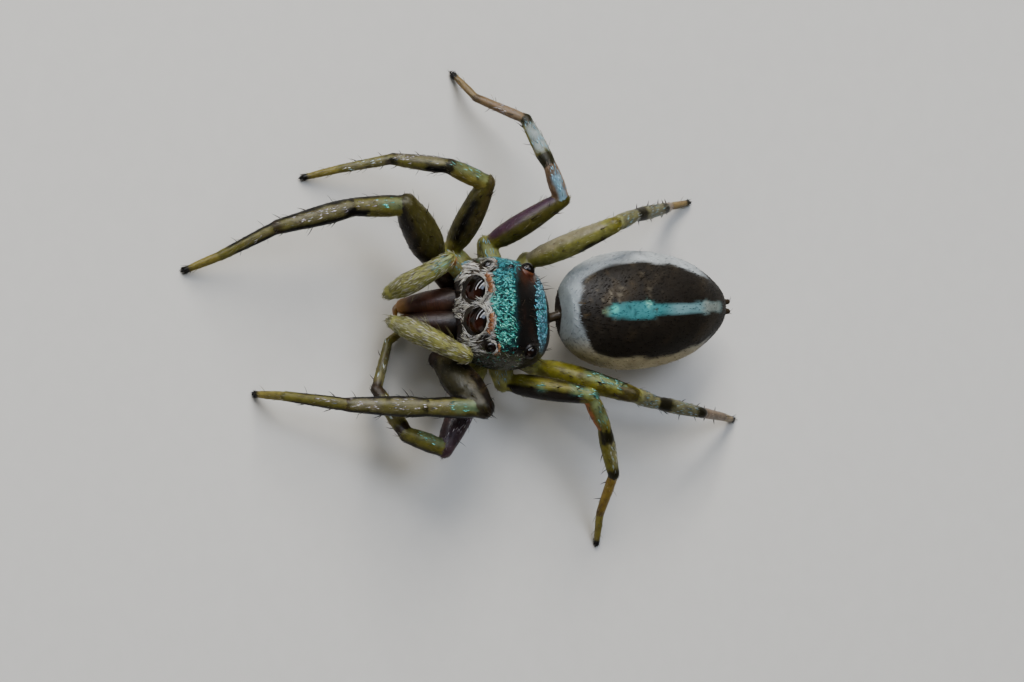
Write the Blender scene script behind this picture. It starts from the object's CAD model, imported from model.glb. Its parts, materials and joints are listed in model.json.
import json
import logging
import math
from collections.abc import Callable
from dataclasses import dataclass, field
from enum import Enum

import bmesh
import bpy
import numpy as np
from mathutils import Matrix, Vector

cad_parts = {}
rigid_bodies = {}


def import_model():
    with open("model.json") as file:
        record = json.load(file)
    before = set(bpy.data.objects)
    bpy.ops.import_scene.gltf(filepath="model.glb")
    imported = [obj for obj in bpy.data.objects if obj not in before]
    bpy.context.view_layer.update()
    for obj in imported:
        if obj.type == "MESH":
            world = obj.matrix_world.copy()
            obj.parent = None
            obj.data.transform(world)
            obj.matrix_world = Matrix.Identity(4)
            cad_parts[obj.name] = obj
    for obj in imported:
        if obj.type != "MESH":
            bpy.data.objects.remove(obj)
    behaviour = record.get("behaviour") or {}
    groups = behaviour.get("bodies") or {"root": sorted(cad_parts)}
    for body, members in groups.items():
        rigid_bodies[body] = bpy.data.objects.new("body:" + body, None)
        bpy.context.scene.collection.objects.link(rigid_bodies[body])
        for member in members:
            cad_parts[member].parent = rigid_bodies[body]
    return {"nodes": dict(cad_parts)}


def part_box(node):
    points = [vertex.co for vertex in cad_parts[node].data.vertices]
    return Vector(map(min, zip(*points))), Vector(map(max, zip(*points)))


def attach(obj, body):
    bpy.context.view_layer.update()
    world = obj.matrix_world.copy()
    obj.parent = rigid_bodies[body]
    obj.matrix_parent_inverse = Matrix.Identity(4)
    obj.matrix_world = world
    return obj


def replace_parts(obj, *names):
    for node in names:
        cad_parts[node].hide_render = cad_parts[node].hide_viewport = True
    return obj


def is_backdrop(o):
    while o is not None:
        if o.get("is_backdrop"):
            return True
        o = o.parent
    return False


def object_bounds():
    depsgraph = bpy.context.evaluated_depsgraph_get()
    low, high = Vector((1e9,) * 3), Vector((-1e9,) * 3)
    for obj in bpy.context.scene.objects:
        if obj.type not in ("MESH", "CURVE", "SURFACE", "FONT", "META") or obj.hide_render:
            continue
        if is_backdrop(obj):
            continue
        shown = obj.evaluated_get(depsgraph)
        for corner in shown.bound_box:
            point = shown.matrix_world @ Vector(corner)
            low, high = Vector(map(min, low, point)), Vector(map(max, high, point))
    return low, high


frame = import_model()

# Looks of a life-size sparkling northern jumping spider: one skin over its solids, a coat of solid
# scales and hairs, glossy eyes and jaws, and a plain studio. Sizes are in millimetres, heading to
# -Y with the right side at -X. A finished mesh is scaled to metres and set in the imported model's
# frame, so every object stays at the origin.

CAD_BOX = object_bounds()
MM = 0.001
SIDES = {"R": -1, "L": 1}

Array = np.ndarray
Form = bmesh.types.BMesh

log = logging.getLogger("jumping_spider")


def linear(colour: str) -> tuple[float, float, float]:
    """Linear red, green and blue of an sRGB hex value.

    Args:
        colour: "#rrggbb".

    Returns:
        Three linear values from 0 to 1.
    """
    shares = [int(colour[i : i + 2], 16) / 255 for i in (1, 3, 5)]
    return tuple(s / 12.92 if s <= 0.04045 else ((s + 0.055) / 1.055) ** 2.4 for s in shares)


class Tone(Enum):
    """Colours of cuticle, scales and hairs."""

    PITCH = "#0a0705"
    SOOT = "#140e09"
    UMBER = "#26180e"
    CHESTNUT = "#2a140a"
    GARNET = "#4a2010"
    RUST = "#a05a2c"
    APRICOT = "#cf9264"
    BARK = "#40341f"
    PURPLE = "#3c2434"
    MUD = "#3c3816"
    OLIVE = "#6a661e"
    DRAB = "#605c28"
    STRAW = "#7c7c40"
    OCHRE = "#746a30"
    AMBER = "#a07430"
    SAND = "#5e5a30"
    ROSE = "#7a6050"
    STREAM = "#3c8286"
    TURQUOISE = "#4fc3b4"
    MINT = "#7cc8b4"
    LAGOON = "#4aaec4"
    JADE = "#3fa37a"
    SKY = "#86b6cc"
    DEEP_SEA = "#12363a"
    MOSS = "#4a5c3a"
    LILAC = "#a8a0ac"
    SILVER = "#dedbd2"
    CHALK = "#9aa3a8"
    SHELL = "#8a8270"
    CREAM = "#bcaa78"

    @property
    def linear(self) -> Array:
        """Linear colour as an array."""
        return np.array(linear(self.value))


def ease(x: Array, start: float, end: float) -> Array:
    """Smooth rise from 0 at start to 1 at end, or a fall where end is the lower."""
    t = np.clip((x - start) / (end - start), 0.0, 1.0)
    return t * t * (3 - 2 * t)


def within(x: Array, low: float, high: float, soft: float) -> Array:
    """1 between low and high, falling to 0 over a soft edge on each side."""
    return ease(x, low - soft, low + soft) * ease(x, high + soft, high - soft)


def near(points: Array, centre: tuple, reach: float, soft: float = 0.5) -> Array:
    """1 close to a centre and 0 past its reach; soft is the share of the reach that fades."""
    distance = np.linalg.norm(points - np.array(centre), axis=1)
    return ease(distance, reach, reach * (1 - soft))


def unit(rows: Array) -> Array:
    """Rows scaled to a length of 1, safe for rows close to 0."""
    return rows / np.maximum(np.linalg.norm(rows, axis=1, keepdims=True), 1e-6)


def ripple(points: Array, size: float, seed: int) -> Array:
    """Smooth irregular waves from about -1 to 1.

    Args:
        points: Places in millimetres, one row each.
        size: Wavelength in millimetres.
        seed: Chooses the pattern.

    Returns:
        One value a point.
    """
    rng = np.random.default_rng(seed)
    total = np.zeros(len(points))
    for _ in range(6):
        heading = rng.normal(size=3)
        heading *= 2 * math.pi / (size * rng.uniform(0.7, 1.5) * np.linalg.norm(heading))
        total += np.sin(points @ heading + rng.uniform(0, 2 * math.pi))
    return total / 2.6


class Paint:
    """Colours of many points at once, laid over one another."""

    def __init__(self, count: int, ground: Tone) -> None:
        """Starts with one ground colour on every point."""
        self.colour = np.tile(ground.linear, (count, 1))

    def lay(self, share: Array | float, tone: Tone) -> "Paint":
        """Mixes a tone in by its share at each point and returns the paint."""
        share = np.broadcast_to(share, len(self.colour))
        self.colour += np.clip(share, 0, 1)[:, None] * (tone.linear - self.colour)
        return self


@dataclass(frozen=True)
class Axes:
    """A body's own frame: its start, and its lean in degrees from heading level to -Y."""

    origin: tuple[float, float, float]
    pitch: float
    roll: float
    yaw: float

    @property
    def matrix(self) -> Matrix:
        """Columns are forward, left and up."""
        return (
            Matrix.Rotation(math.radians(-90 - self.yaw), 3, "Z")
            @ Matrix.Rotation(math.radians(-self.pitch), 3, "Y")
            @ Matrix.Rotation(math.radians(self.roll), 3, "X")
        )

    def point(self, forward: float, left: float, up: float) -> Vector:
        """A point given in this frame."""
        return Vector(self.origin) + self.matrix @ Vector((forward, left, up))

    def sided(self, place: tuple, side: int) -> Vector:
        """A point given for the left side, or its mirror image where the side is -1."""
        return self.point(place[0], side * place[1], place[2])

    def inside(self, points: Array) -> Array:
        """Places of points as seen in this frame, one row each."""
        return (points - np.array(self.origin)) @ np.array(self.matrix)

    def outside(self, directions: Array) -> Array:
        """Directions given in this frame, turned to the spider's."""
        return directions @ np.array(self.matrix).T


HEAD = Axes((0.30, 0.0, 0.95), 15, 11, 6)
ABDOMEN = Axes((0.13, 0.06, 1.14), 2, 0, -2)


def smooth_rows(rows: tuple, count: int) -> list[list[float]]:
    """Rows read at even steps of a smooth curve through the given rows.

    Args:
        rows: Tuples of equal length.
        count: Number of rows wanted.

    Returns:
        The rows found, the first and last as given.
    """
    last = len(rows) - 1
    found = []
    for step in range(count):
        place = step * last / (count - 1)
        k = min(int(place), last - 1)
        t = place - k
        before, a, b, after = (rows[min(max(k + j, 0), last)] for j in (-1, 0, 1, 2))
        row = []
        for p, q, r, s in zip(before, a, b, after):
            row.append(q + 0.5 * t * (r - p + t * (2 * p - 5 * q + 4 * r - s + t * (3 * (q - r) + s - p))))
        found.append(row)
    return found


def across_and_rise(direction: Vector) -> tuple[Vector, Vector]:
    """Two unit vectors across a direction: level to its right, and up."""
    across = direction.cross(Vector((0, 0, 1))).normalized()
    return across, across.cross(direction)


@dataclass(frozen=True)
class Station:
    """One ring of a swept form."""

    centre: Vector
    direction: Vector
    half_width: float
    half_height: float

    @property
    def matrix(self) -> Matrix:
        """Takes a unit circle to this ring."""
        across, rise = across_and_rise(self.direction)
        columns = Matrix((across * self.half_width, rise * self.half_height, self.direction))
        return Matrix.Translation(self.centre) @ columns.transposed().to_4x4()


def sweep(stations: list[Station], sides: int) -> Form:
    """A closed form through rings, made by extruding one ring from station to station.

    Args:
        stations: Rings from end to end.
        sides: Points of each ring.

    Returns:
        The new bmesh.
    """
    bm = bmesh.new()
    ring = bmesh.ops.create_circle(bm, cap_ends=True, segments=sides, radius=1.0)["verts"]
    bmesh.ops.transform(bm, matrix=stations[0].matrix, verts=ring)
    edges = bm.edges[:]
    for before, after in zip(stations, stations[1:]):
        made = bmesh.ops.extrude_edge_only(bm, edges=edges)["geom"]
        ring = [part for part in made if isinstance(part, bmesh.types.BMVert)]
        kept = set(ring)
        edges = [
            part for part in made
            if isinstance(part, bmesh.types.BMEdge) and part.verts[0] in kept and part.verts[1] in kept
        ]
        bmesh.ops.transform(bm, matrix=after.matrix @ before.matrix.inverted(), verts=ring)
    bmesh.ops.holes_fill(bm, edges=edges, sides=0)
    bmesh.ops.recalc_face_normals(bm, faces=bm.faces)
    return bm


END_LEANS = (12, 32, 52, 72)


@dataclass(frozen=True)
class Limb:
    """A tapered, slightly bowed limb with round ends centred on its joints."""

    start: Vector
    end: Vector
    radii: tuple[float, ...]
    bow: float = 0.0
    sides: int = 22
    steps: int = 26

    def build(self) -> Form:
        """The limb's closed surface."""
        chord = self.end - self.start
        direction = chord.normalized()
        rise = across_and_rise(direction)[1]
        rows = smooth_rows([(radius,) for radius in self.radii], self.steps)
        stations = []
        for lean in END_LEANS:
            stations.append(self.cap(self.start, direction, rows[0][0], -math.radians(lean)))
        for i, (radius,) in enumerate(rows):
            t = i / (self.steps - 1)
            centre = self.start + t * chord + 4 * self.bow * t * (1 - t) * rise
            stations.append(Station(centre, direction, radius, radius))
        for lean in reversed(END_LEANS):
            stations.append(self.cap(self.end, direction, rows[-1][0], math.radians(lean)))
        return sweep(stations, self.sides)

    def cap(self, centre: Vector, direction: Vector, radius: float, lean: float) -> Station:
        """A ring of a round end, at an angle from the axis, negative at the start."""
        along = math.copysign(radius * math.cos(lean), lean)
        size = radius * abs(math.sin(lean))
        return Station(centre + along * direction, direction, size, size)

    def locate(self, points: Array) -> tuple[Array, Array]:
        """Where points lie on the limb.

        Args:
            points: Places in millimetres, one row each.

        Returns:
            Shares of the length, and angles in degrees from the top, positive to the right.
        """
        chord = self.end - self.start
        direction = chord.normalized()
        across, rise = (np.array(v) for v in across_and_rise(direction))
        offset = points - np.array(self.start)
        t = offset @ np.array(direction) / chord.length
        height = offset @ rise - 4 * self.bow * t * (1 - t)
        return t, np.degrees(np.arctan2(offset @ across, height))

    def along(self, count: int) -> Array:
        """The way from start to end, once for each of a number of roots."""
        return np.tile(np.array(self.end - self.start), (count, 1))


def warped_ball(segments: int, rings: int, place: Callable[[float, float], Vector]) -> Form:
    """A closed form from a sphere whose points are moved to where a function puts them.

    Args:
        segments: Points round each ring.
        rings: Steps from pole to pole.
        place: Takes the share of the way from pole to pole and the turn in radians.

    Returns:
        The new bmesh.
    """
    bm = bmesh.new()
    bmesh.ops.create_uvsphere(bm, u_segments=segments, v_segments=rings, radius=1.0)
    for vert in bm.verts:
        share = math.acos(min(max(vert.co.z, -1.0), 1.0)) / math.pi
        vert.co = place(share, math.atan2(vert.co.y, vert.co.x))
    bmesh.ops.recalc_face_normals(bm, faces=bm.faces)
    if bm.calc_volume(signed=True) < 0:
        bmesh.ops.reverse_faces(bm, faces=bm.faces)
    return bm


def ellipsoid(centre: Vector, half_sizes: tuple, axes: Axes) -> Form:
    """An ellipsoid with its pole along the body's forward axis."""
    bm = bmesh.new()
    bmesh.ops.create_uvsphere(bm, u_segments=40, v_segments=28, radius=1.0)
    turn = axes.matrix.to_4x4() @ Matrix.Diagonal((*half_sizes, 1.0)) @ Matrix.Rotation(math.pi / 2, 4, "Y")
    bmesh.ops.transform(bm, matrix=Matrix.Translation(centre) @ turn, verts=bm.verts)
    return bm


def in_order(bm: Form) -> Form:
    """The same form with faces and corners in a fixed order, which the operators don't keep."""
    bm.verts.index_update()
    made = bmesh.new()
    verts = [made.verts.new(vert.co) for vert in bm.verts]
    faces = []
    for face in bm.faces:
        corners = [vert.index for vert in face.verts]
        first = corners.index(min(corners))
        faces.append(corners[first:] + corners[:first])
    for corners in sorted(faces):
        made.faces.new([verts[i] for i in corners])
    bm.free()
    return made


def settle(points: Array) -> Array:
    """Places in millimetres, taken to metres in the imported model's frame."""
    return (points + np.array(MODEL_SHIFT)) * MM


def find_shift() -> Vector:
    """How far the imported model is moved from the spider's own frame, from the place of one eye."""
    low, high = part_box("eye_PLE_L")
    return (low + high) / (2 * MM) - HEAD.point(*Eye.PLACES["PLE"][:3])


def new_object(name: str, mesh: bpy.types.Mesh) -> bpy.types.Object:
    """An object for a finished mesh, linked to the scene."""
    made = bpy.data.objects.new(name, mesh)
    bpy.context.scene.collection.objects.link(made)
    return made


def finish_mesh(name: str, bm: Form) -> bpy.types.Object:
    """An object in metres from a bmesh in millimetres, which it frees."""
    bmesh.ops.translate(bm, vec=MODEL_SHIFT, verts=bm.verts)
    bmesh.ops.scale(bm, vec=(MM, MM, MM), verts=bm.verts)
    mesh = bpy.data.meshes.new(name)
    bm.to_mesh(mesh)
    bm.free()
    mesh.shade_smooth()
    return new_object(name, mesh)


def set_tone(mesh: bpy.types.Mesh, colour: Array) -> None:
    """Stores one colour a vertex in the attribute that every finish here reads."""
    rgba = np.ones((len(colour), 4), np.float32)
    rgba[:, :3] = np.clip(colour, 0, 1)
    mesh.attributes.new("tone", "FLOAT_COLOR", "POINT").data.foreach_set("color", rgba.ravel())


def vertex_places(mesh: bpy.types.Mesh) -> Array:
    """Vertices of a finished mesh, back in millimetres in the spider's frame."""
    co = np.empty(len(mesh.vertices) * 3, np.float32)
    mesh.vertices.foreach_get("co", co)
    return co.reshape(-1, 3).astype(float) / MM - np.array(MODEL_SHIFT)


def add(
    tree: bpy.types.NodeTree, kind: str, settings: dict | None = None, sockets: dict | None = None
) -> bpy.types.Node:
    """Adds a node to a material.

    Args:
        tree: The material's nodes.
        kind: The node's type.
        settings: Properties to set.
        sockets: Inputs by name or number, each a value or another node's output.

    Returns:
        The new node.
    """
    node = tree.nodes.new(kind)
    for name, value in (settings or {}).items():
        setattr(node, name, value)
    for name, value in (sockets or {}).items():
        if isinstance(value, bpy.types.NodeSocket):
            tree.links.new(value, node.inputs[name])
        else:
            node.inputs[name].default_value = value
    return node


def per_size(size: float) -> float:
    """Pattern scale for a feature of a size in millimetres, on coordinates in metres."""
    return 1 / (size * MM)


@dataclass(frozen=True)
class Finish:
    """A surface whose colour is painted on its mesh, with its own grain, relief and gloss.

    Grain is the size of the finest bumps in millimetres and relief their height. Mottle is the
    size of the lighter and darker patches, and contrast how far they go.
    """

    name: str
    roughness: float
    grain: float
    relief: float
    mottle: float
    contrast: float
    metallic: float = 0.0
    depth: float = 0.0
    wet: float = 0.0
    wet_roughness: float = 0.1
    ior: float = 1.55
    shine: float = 0.5

    def material(self) -> bpy.types.Material:
        """The finish as a node material."""
        found = bpy.data.materials.get(self.name)
        if found:
            return found
        material = bpy.data.materials.new(self.name)
        material.use_nodes = True
        tree = material.node_tree
        shader = tree.nodes["Principled BSDF"]
        place = add(tree, "ShaderNodeTexCoord").outputs["Object"]
        tone = add(tree, "ShaderNodeAttribute", {"attribute_name": "tone"})
        patches = add(
            tree, "ShaderNodeTexNoise", None,
            {"Vector": place, "Scale": per_size(self.mottle), "Detail": 3.0, "Roughness": 0.6},
        )
        shade = add(
            tree, "ShaderNodeMapRange", None,
            {"Value": patches.outputs["Fac"], "From Min": 0.3, "From Max": 0.7,
             "To Min": 1 - self.contrast, "To Max": 1 + 0.6 * self.contrast},
        )
        colour = add(
            tree, "ShaderNodeMix", {"data_type": "RGBA", "blend_type": "MULTIPLY", "clamp_result": True},
            {0: 1.0, 6: tone.outputs["Color"], 7: shade.outputs["Result"]},
        )
        grain = add(
            tree, "ShaderNodeTexNoise", None,
            {"Vector": place, "Scale": per_size(self.grain), "Detail": 4.0, "Roughness": 0.65},
        )
        bump = add(
            tree, "ShaderNodeBump", None,
            {"Strength": 0.8, "Distance": self.relief * MM, "Height": grain.outputs["Fac"]},
        )
        gloss = add(
            tree, "ShaderNodeMapRange", None,
            {"Value": grain.outputs["Fac"], "From Min": 0.3, "From Max": 0.7,
             "To Min": 0.8 * self.roughness, "To Max": 1.2 * self.roughness},
        )
        tree.links.new(colour.outputs[2], shader.inputs["Base Color"])
        tree.links.new(gloss.outputs["Result"], shader.inputs["Roughness"])
        tree.links.new(bump.outputs["Normal"], shader.inputs["Normal"])
        shader.inputs["Metallic"].default_value = self.metallic
        shader.inputs["IOR"].default_value = self.ior
        shader.inputs["Specular IOR Level"].default_value = self.shine
        shader.inputs["Subsurface Weight"].default_value = self.depth
        shader.inputs["Subsurface Radius"].default_value = (1.0, 0.7, 0.35)
        shader.inputs["Subsurface Scale"].default_value = 0.12 * MM
        shader.inputs["Coat Weight"].default_value = self.wet
        shader.inputs["Coat Roughness"].default_value = self.wet_roughness
        return material


# Hardened cuticle of the head shield: near black, finely granular, with a waxy gloss.
SHIELD_CUTICLE = Finish(
    "shield_cuticle", 0.34, 0.035, 0.007, 0.30, 0.35, wet=0.05, wet_roughness=0.12, shine=0.2
)
# Softer abdomen skin under its coat: satin, finely wrinkled.
ABDOMEN_CUTICLE = Finish("abdomen_cuticle", 0.55, 0.05, 0.008, 0.35, 0.30, shine=0.15)
# Thin cuticle of legs and palps: light sinks in a little, so that it looks like amber glass.
LIMB_CUTICLE = Finish(
    "limb_cuticle", 0.36, 0.04, 0.006, 0.16, 0.35, depth=0.25, wet=0.03, wet_roughness=0.2, shine=0.10
)
# Scales whose layers make the colour: they shine like metal and flash in specks.
IRIDESCENT_SCALE = Finish("iridescent_scale", 0.36, 0.03, 0.003, 0.10, 0.35, metallic=0.55)
# Pale hairs, each a hollow thread that lights up: silky white or straw.
PALE_HAIR = Finish("pale_hair", 0.42, 0.03, 0.002, 0.15, 0.15, depth=0.2, shine=0.2)
# Dark hairs and spines: horn-like, black to brown with a narrow shine.
DARK_HAIR = Finish("dark_hair", 0.35, 0.03, 0.002, 0.15, 0.25, shine=0.15)
# Flat hairs of the abdomen: a matt velvet nap.
VELVET_HAIR = Finish("velvet_hair", 0.6, 0.03, 0.002, 0.30, 0.25, shine=0.10)
# Jaw chitin: polished red-brown horn with cross wrinkles.
JAW_CHITIN = Finish(
    "wrinkled_jaw_horn", 0.42, 0.05, 0.012, 0.20, 0.40, wet=0.03, wet_roughness=0.12, shine=0.2
)
# Fang chitin: smooth, glassy, amber to dark red.
FANG_CHITIN = Finish(
    "glassy_fang_horn", 0.15, 0.08, 0.002, 0.20, 0.20, depth=0.3, wet=0.5, wet_roughness=0.05
)
# Eye lens: a clear, wet-looking dome over a dark chamber.
EYE_LENS = Finish(
    "clear_domed_lens", 0.12, 0.15, 0.0002, 0.25, 0.20, wet=0.4, wet_roughness=0.01, ior=1.4, shine=0.03
)


@dataclass(frozen=True)
class Floor:
    """Plain pale tabletop and its painted finish."""

    half_size: float = 0.6
    colour: str = "#dcdad4"
    speck: float = 0.4
    speck_shade: float = 0.94
    roughness: float = 0.85

    def build(self) -> None:
        """Lays the floor at the feet's level."""
        bm = bmesh.new()
        bmesh.ops.create_grid(bm, x_segments=2, y_segments=2, size=self.half_size)
        mesh = bpy.data.meshes.new("floor")
        bm.to_mesh(mesh)
        bm.free()
        floor = new_object("floor", mesh)
        mesh.materials.append(self.material())
        floor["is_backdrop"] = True

    def material(self) -> bpy.types.Material:
        """Matt paint with a faint unevenness."""
        material = bpy.data.materials.new("matt_floor_paint")
        material.use_nodes = True
        tree = material.node_tree
        shader = tree.nodes["Principled BSDF"]
        place = add(tree, "ShaderNodeTexCoord").outputs["Object"]
        noise = add(tree, "ShaderNodeTexNoise", None, {"Vector": place, "Scale": per_size(self.speck)})
        ramp = add(
            tree, "ShaderNodeMix", {"data_type": "RGBA"},
            {0: noise.outputs["Fac"], 6: (*linear(self.colour), 1.0),
             7: tuple(self.speck_shade * c for c in linear(self.colour)) + (1.0,)},
        )
        tree.links.new(ramp.outputs[2], shader.inputs["Base Color"])
        shader.inputs["Roughness"].default_value = self.roughness
        return material


@dataclass(frozen=True)
class Softbox:
    """A rectangular studio light: where it hangs from the spider, in metres, and its strength.

    A glint light shows in glossy surfaces and leaves the even light of the others as it is.
    """

    name: str
    direction: tuple[float, float, float]
    distance: float
    width: float
    height: float
    watts: float
    colour: str = "#ffffff"
    roll: float = 0.0
    glint: bool = False

    def build(self, target: Vector) -> None:
        """Hangs the light and turns it to the target."""
        lamp = bpy.data.lights.new(self.name, "AREA")
        lamp.shape = "RECTANGLE"
        lamp.size = self.width
        lamp.size_y = self.height
        lamp.energy = self.watts
        lamp.color = linear(self.colour)
        holder = bpy.data.objects.new(self.name, lamp)
        bpy.context.scene.collection.objects.link(holder)
        heading = Vector(self.direction).normalized()
        holder.location = target + self.distance * heading
        holder.visible_diffuse = not self.glint
        turn = Matrix.Rotation(math.radians(self.roll), 3, "Z")
        holder.rotation_euler = (heading.to_track_quat("Z", "Y").to_matrix() @ turn).to_euler()


@dataclass
class Studio:
    """Camera at the photograph's angle, soft light, pale surroundings and floor."""

    elevation: float = 63.0
    distance: float = 0.150
    target: tuple[float, float, float] = (0.673, -0.92, 1.0)
    frame_width: float = 19.69
    sensor: float = 36.0
    ambient: str = "#e9eef2"
    ambient_strength: float = 0.15
    lights: tuple[Softbox, ...] = (
        Softbox("key_softbox", (-0.82, -0.16, 0.60), 0.15, 0.12, 0.05, 0.28, "#fffaf2", 30),
        Softbox("window_softbox", (-0.40, 0.12, 0.90), 0.25, 0.15, 0.12, 0.31, "#e2ecff"),
        Softbox("fill_softbox", (0.8, -0.6, 0.45), 0.30, 0.20, 0.16, 0.12, "#fff4e4"),
        Softbox("low_glint_strip", (-0.63, -0.72, 0.20), 0.15, 0.180, 0.0105, 0.24, "#f4f8ff", glint=True),
        Softbox("high_glint_strip", (-0.62, -0.58, 0.52), 0.15, 0.110, 0.0120, 0.166, "#f4f8ff", glint=True),
        Softbox("glint_card", (-0.43, -0.56, 0.71), 0.15, 0.050, 0.040, 0.075, "#d4e4ff", glint=True),
    )
    floor: Floor = field(default_factory=Floor)

    def build_camera(self) -> None:
        """Sets the camera: the spider's head points to the left of the frame."""
        lean = math.radians(self.elevation)
        back = Vector((0.0, -math.cos(lean), math.sin(lean)))
        image_up = Vector((-1.0, 0.0, 0.0))
        image_right = image_up.cross(back)
        camera = bpy.data.cameras.new("camera")
        camera.sensor_width = self.sensor
        camera.lens = self.sensor * self.distance / (self.frame_width * MM)
        camera.clip_start = 0.005
        camera.clip_end = 5.0
        holder = bpy.data.objects.new("camera", camera)
        bpy.context.scene.collection.objects.link(holder)
        turn = Matrix((image_right, image_up, back)).transposed().to_4x4()
        centre = (Vector(self.target) + MODEL_SHIFT) * MM
        holder.matrix_world = Matrix.Translation(centre + self.distance * back) @ turn
        bpy.context.scene.camera = holder

    def build_set(self) -> None:
        """Sets the floor, the lights and the surroundings."""
        self.floor.build()
        centre = (Vector(self.target) + MODEL_SHIFT) * MM
        for light in self.lights:
            light.build(centre)
        world = bpy.data.worlds.new("studio")
        world.use_nodes = True
        backdrop = world.node_tree.nodes["Background"]
        backdrop.inputs["Color"].default_value = (*linear(self.ambient), 1.0)
        backdrop.inputs["Strength"].default_value = self.ambient_strength
        bpy.context.scene.world = world


@dataclass(frozen=True)
class Eye:
    """One eye: a domed lens in a low cup, looking along its own axis."""

    PLACES = {
        "AME": (2.33, 0.297, 0.42, 0.287),
        "ALE": (2.11, 0.780, 0.50, 0.120),
        "PME": (1.62, 0.800, 0.61, 0.055),
        "PLE": (1.14, 0.800, 0.55, 0.145),
    }
    LOOKS = {
        "AME": (1.0, 0.06, 0.10),
        "ALE": (0.80, 0.52, 0.30),
        "PME": (0.25, 0.75, 0.60),
        "PLE": (-0.15, 0.75, 0.65),
    }
    RIM_HEIGHTS = {"AME": 0.25, "ALE": 0.28, "PME": 0.30, "PLE": 0.12}
    # Degrees from a lens's middle to its rim: the front lenses are flatter than a half ball.
    DOMES = {"AME": 47, "ALE": 64, "PME": 70, "PLE": 80}
    # Degrees of the dome that the glow round the pupil is laid out for.
    GLOW_DOME = 76

    kind: str
    letter: str
    segments: int = 56
    rings: int = 36
    cup_wall: float = 0.020
    small_cup_wall: float = 0.012

    @property
    def side(self) -> int:
        """-1 on the right and 1 on the left."""
        return SIDES[self.letter]

    @property
    def radius(self) -> float:
        """Radius of the ball that the lens is part of."""
        return self.PLACES[self.kind][3]

    @property
    def centre(self) -> Vector:
        """Middle of the ball."""
        return HEAD.sided(self.PLACES[self.kind], self.side)

    @property
    def look(self) -> Vector:
        """Unit direction that the eye looks in."""
        forward, left, up = self.LOOKS[self.kind]
        return (HEAD.matrix @ Vector((forward, self.side * left, up))).normalized()

    @property
    def rim(self) -> tuple[Vector, float]:
        """Middle and radius of the circle where the lens leaves its cup."""
        height = self.RIM_HEIGHTS[self.kind] * self.radius
        return self.centre + height * self.look, math.sqrt(self.radius**2 - height**2)

    def cup(self) -> Form:
        """The socket wall that the lens stands in, as part of the head's skin."""
        middle, reach = self.rim
        wall = self.cup_wall if self.kind in ("AME", "ALE") else self.small_cup_wall
        rows = ((-1.1, 0.95), (-0.7, 1.10), (-0.30, 1.12), (-0.06, 1.07), (0.0, 1.0), (-0.04, 0.93))
        rings = []
        for depth, scale in rows:
            radius = scale * reach + wall * (scale > 1)
            rings.append(Station(middle + depth * self.radius * self.look, self.look, radius, radius))
        return sweep(rings, 40)

    def around(self, points: Array) -> tuple[Array, Array, Array]:
        """Where points lie from the middle of the lens's rim.

        Args:
            points: Places in millimetres, one row each.

        Returns:
            Height along the look, distance from that line, and the direction away from it.
        """
        look = np.array(self.look)
        offset = points - np.array(self.rim[0])
        height = offset @ look
        radial = offset - height[:, None] * look
        distance = np.maximum(np.linalg.norm(radial, axis=1), 1e-6)
        return height, distance, radial / distance[:, None]

    def build(self) -> bpy.types.Object:
        """The lens, a cap of a ball, dark with a brown glow round its pupil."""
        middle, reach = self.rim
        dome = math.radians(self.DOMES[self.kind])
        radius = reach / math.sin(dome)
        centre = middle - radius * math.cos(dome) * self.look
        bm = bmesh.new()
        bmesh.ops.create_uvsphere(bm, u_segments=self.segments, v_segments=self.rings, radius=radius)
        turn = self.look.to_track_quat("Z", "Y").to_matrix().to_4x4()
        bmesh.ops.transform(bm, matrix=Matrix.Translation(centre) @ turn, verts=bm.verts)
        base = middle - 0.08 * reach * self.look
        geometry = bm.verts[:] + bm.edges[:] + bm.faces[:]
        cut = bmesh.ops.bisect_plane(
            bm, geom=geometry, plane_co=base, plane_no=self.look, clear_inner=True
        )["geom_cut"]
        bmesh.ops.holes_fill(bm, edges=[e for e in cut if isinstance(e, bmesh.types.BMEdge)], sides=0)
        bmesh.ops.recalc_face_normals(bm, faces=bm.faces)
        lens = finish_mesh(f"lens_{self.kind}_{self.letter}", bm)
        offset = (vertex_places(lens.data) - np.array(centre)) / radius
        lean = np.degrees(np.arccos(np.clip(offset @ np.array(self.look), -1, 1)))
        lean = lean * self.GLOW_DOME / self.DOMES[self.kind]
        low = offset @ np.array((0.9, -0.4, -0.2))
        paint = Paint(len(lean), Tone.PITCH)
        if self.kind == "AME":
            paint.lay(0.45 * within(lean, 16, 58, 14) * ease(low, -0.25, 0.45), Tone.GARNET)
        else:
            paint.lay(0.5 * within(lean, 35, 70, 15) * ease(low, -0.6, 0.6), Tone.CHESTNUT)
        set_tone(lens.data, paint.colour)
        lens.data.materials.append(EYE_LENS.material())
        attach(lens, "root")
        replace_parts(lens, f"eye_{self.kind}_{self.letter}")
        return lens


MODEL_SHIFT = find_shift()


class Kind(Enum):
    """What a stretch of the skin covers."""

    SHIELD = 0
    BREAST = 1
    COXA = 2
    FEMUR = 3
    PATELLA = 4
    TIBIA = 5
    METATARSUS = 6
    TARSUS = 7
    PALP_FEMUR = 8
    PALP_TIP = 9
    WAIST = 10
    ABDOMEN = 11
    SPINNERET = 12


SEGMENTS = (Kind.COXA, Kind.FEMUR, Kind.PATELLA, Kind.TIBIA, Kind.METATARSUS, Kind.TARSUS)


@dataclass(frozen=True)
class Part:
    """One form that the skin is joined from; owner is a leg, a palp's letter or nothing."""

    kind: Kind
    owner: str
    build: Callable[[], Form]
    limb: Limb | None = None


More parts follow.
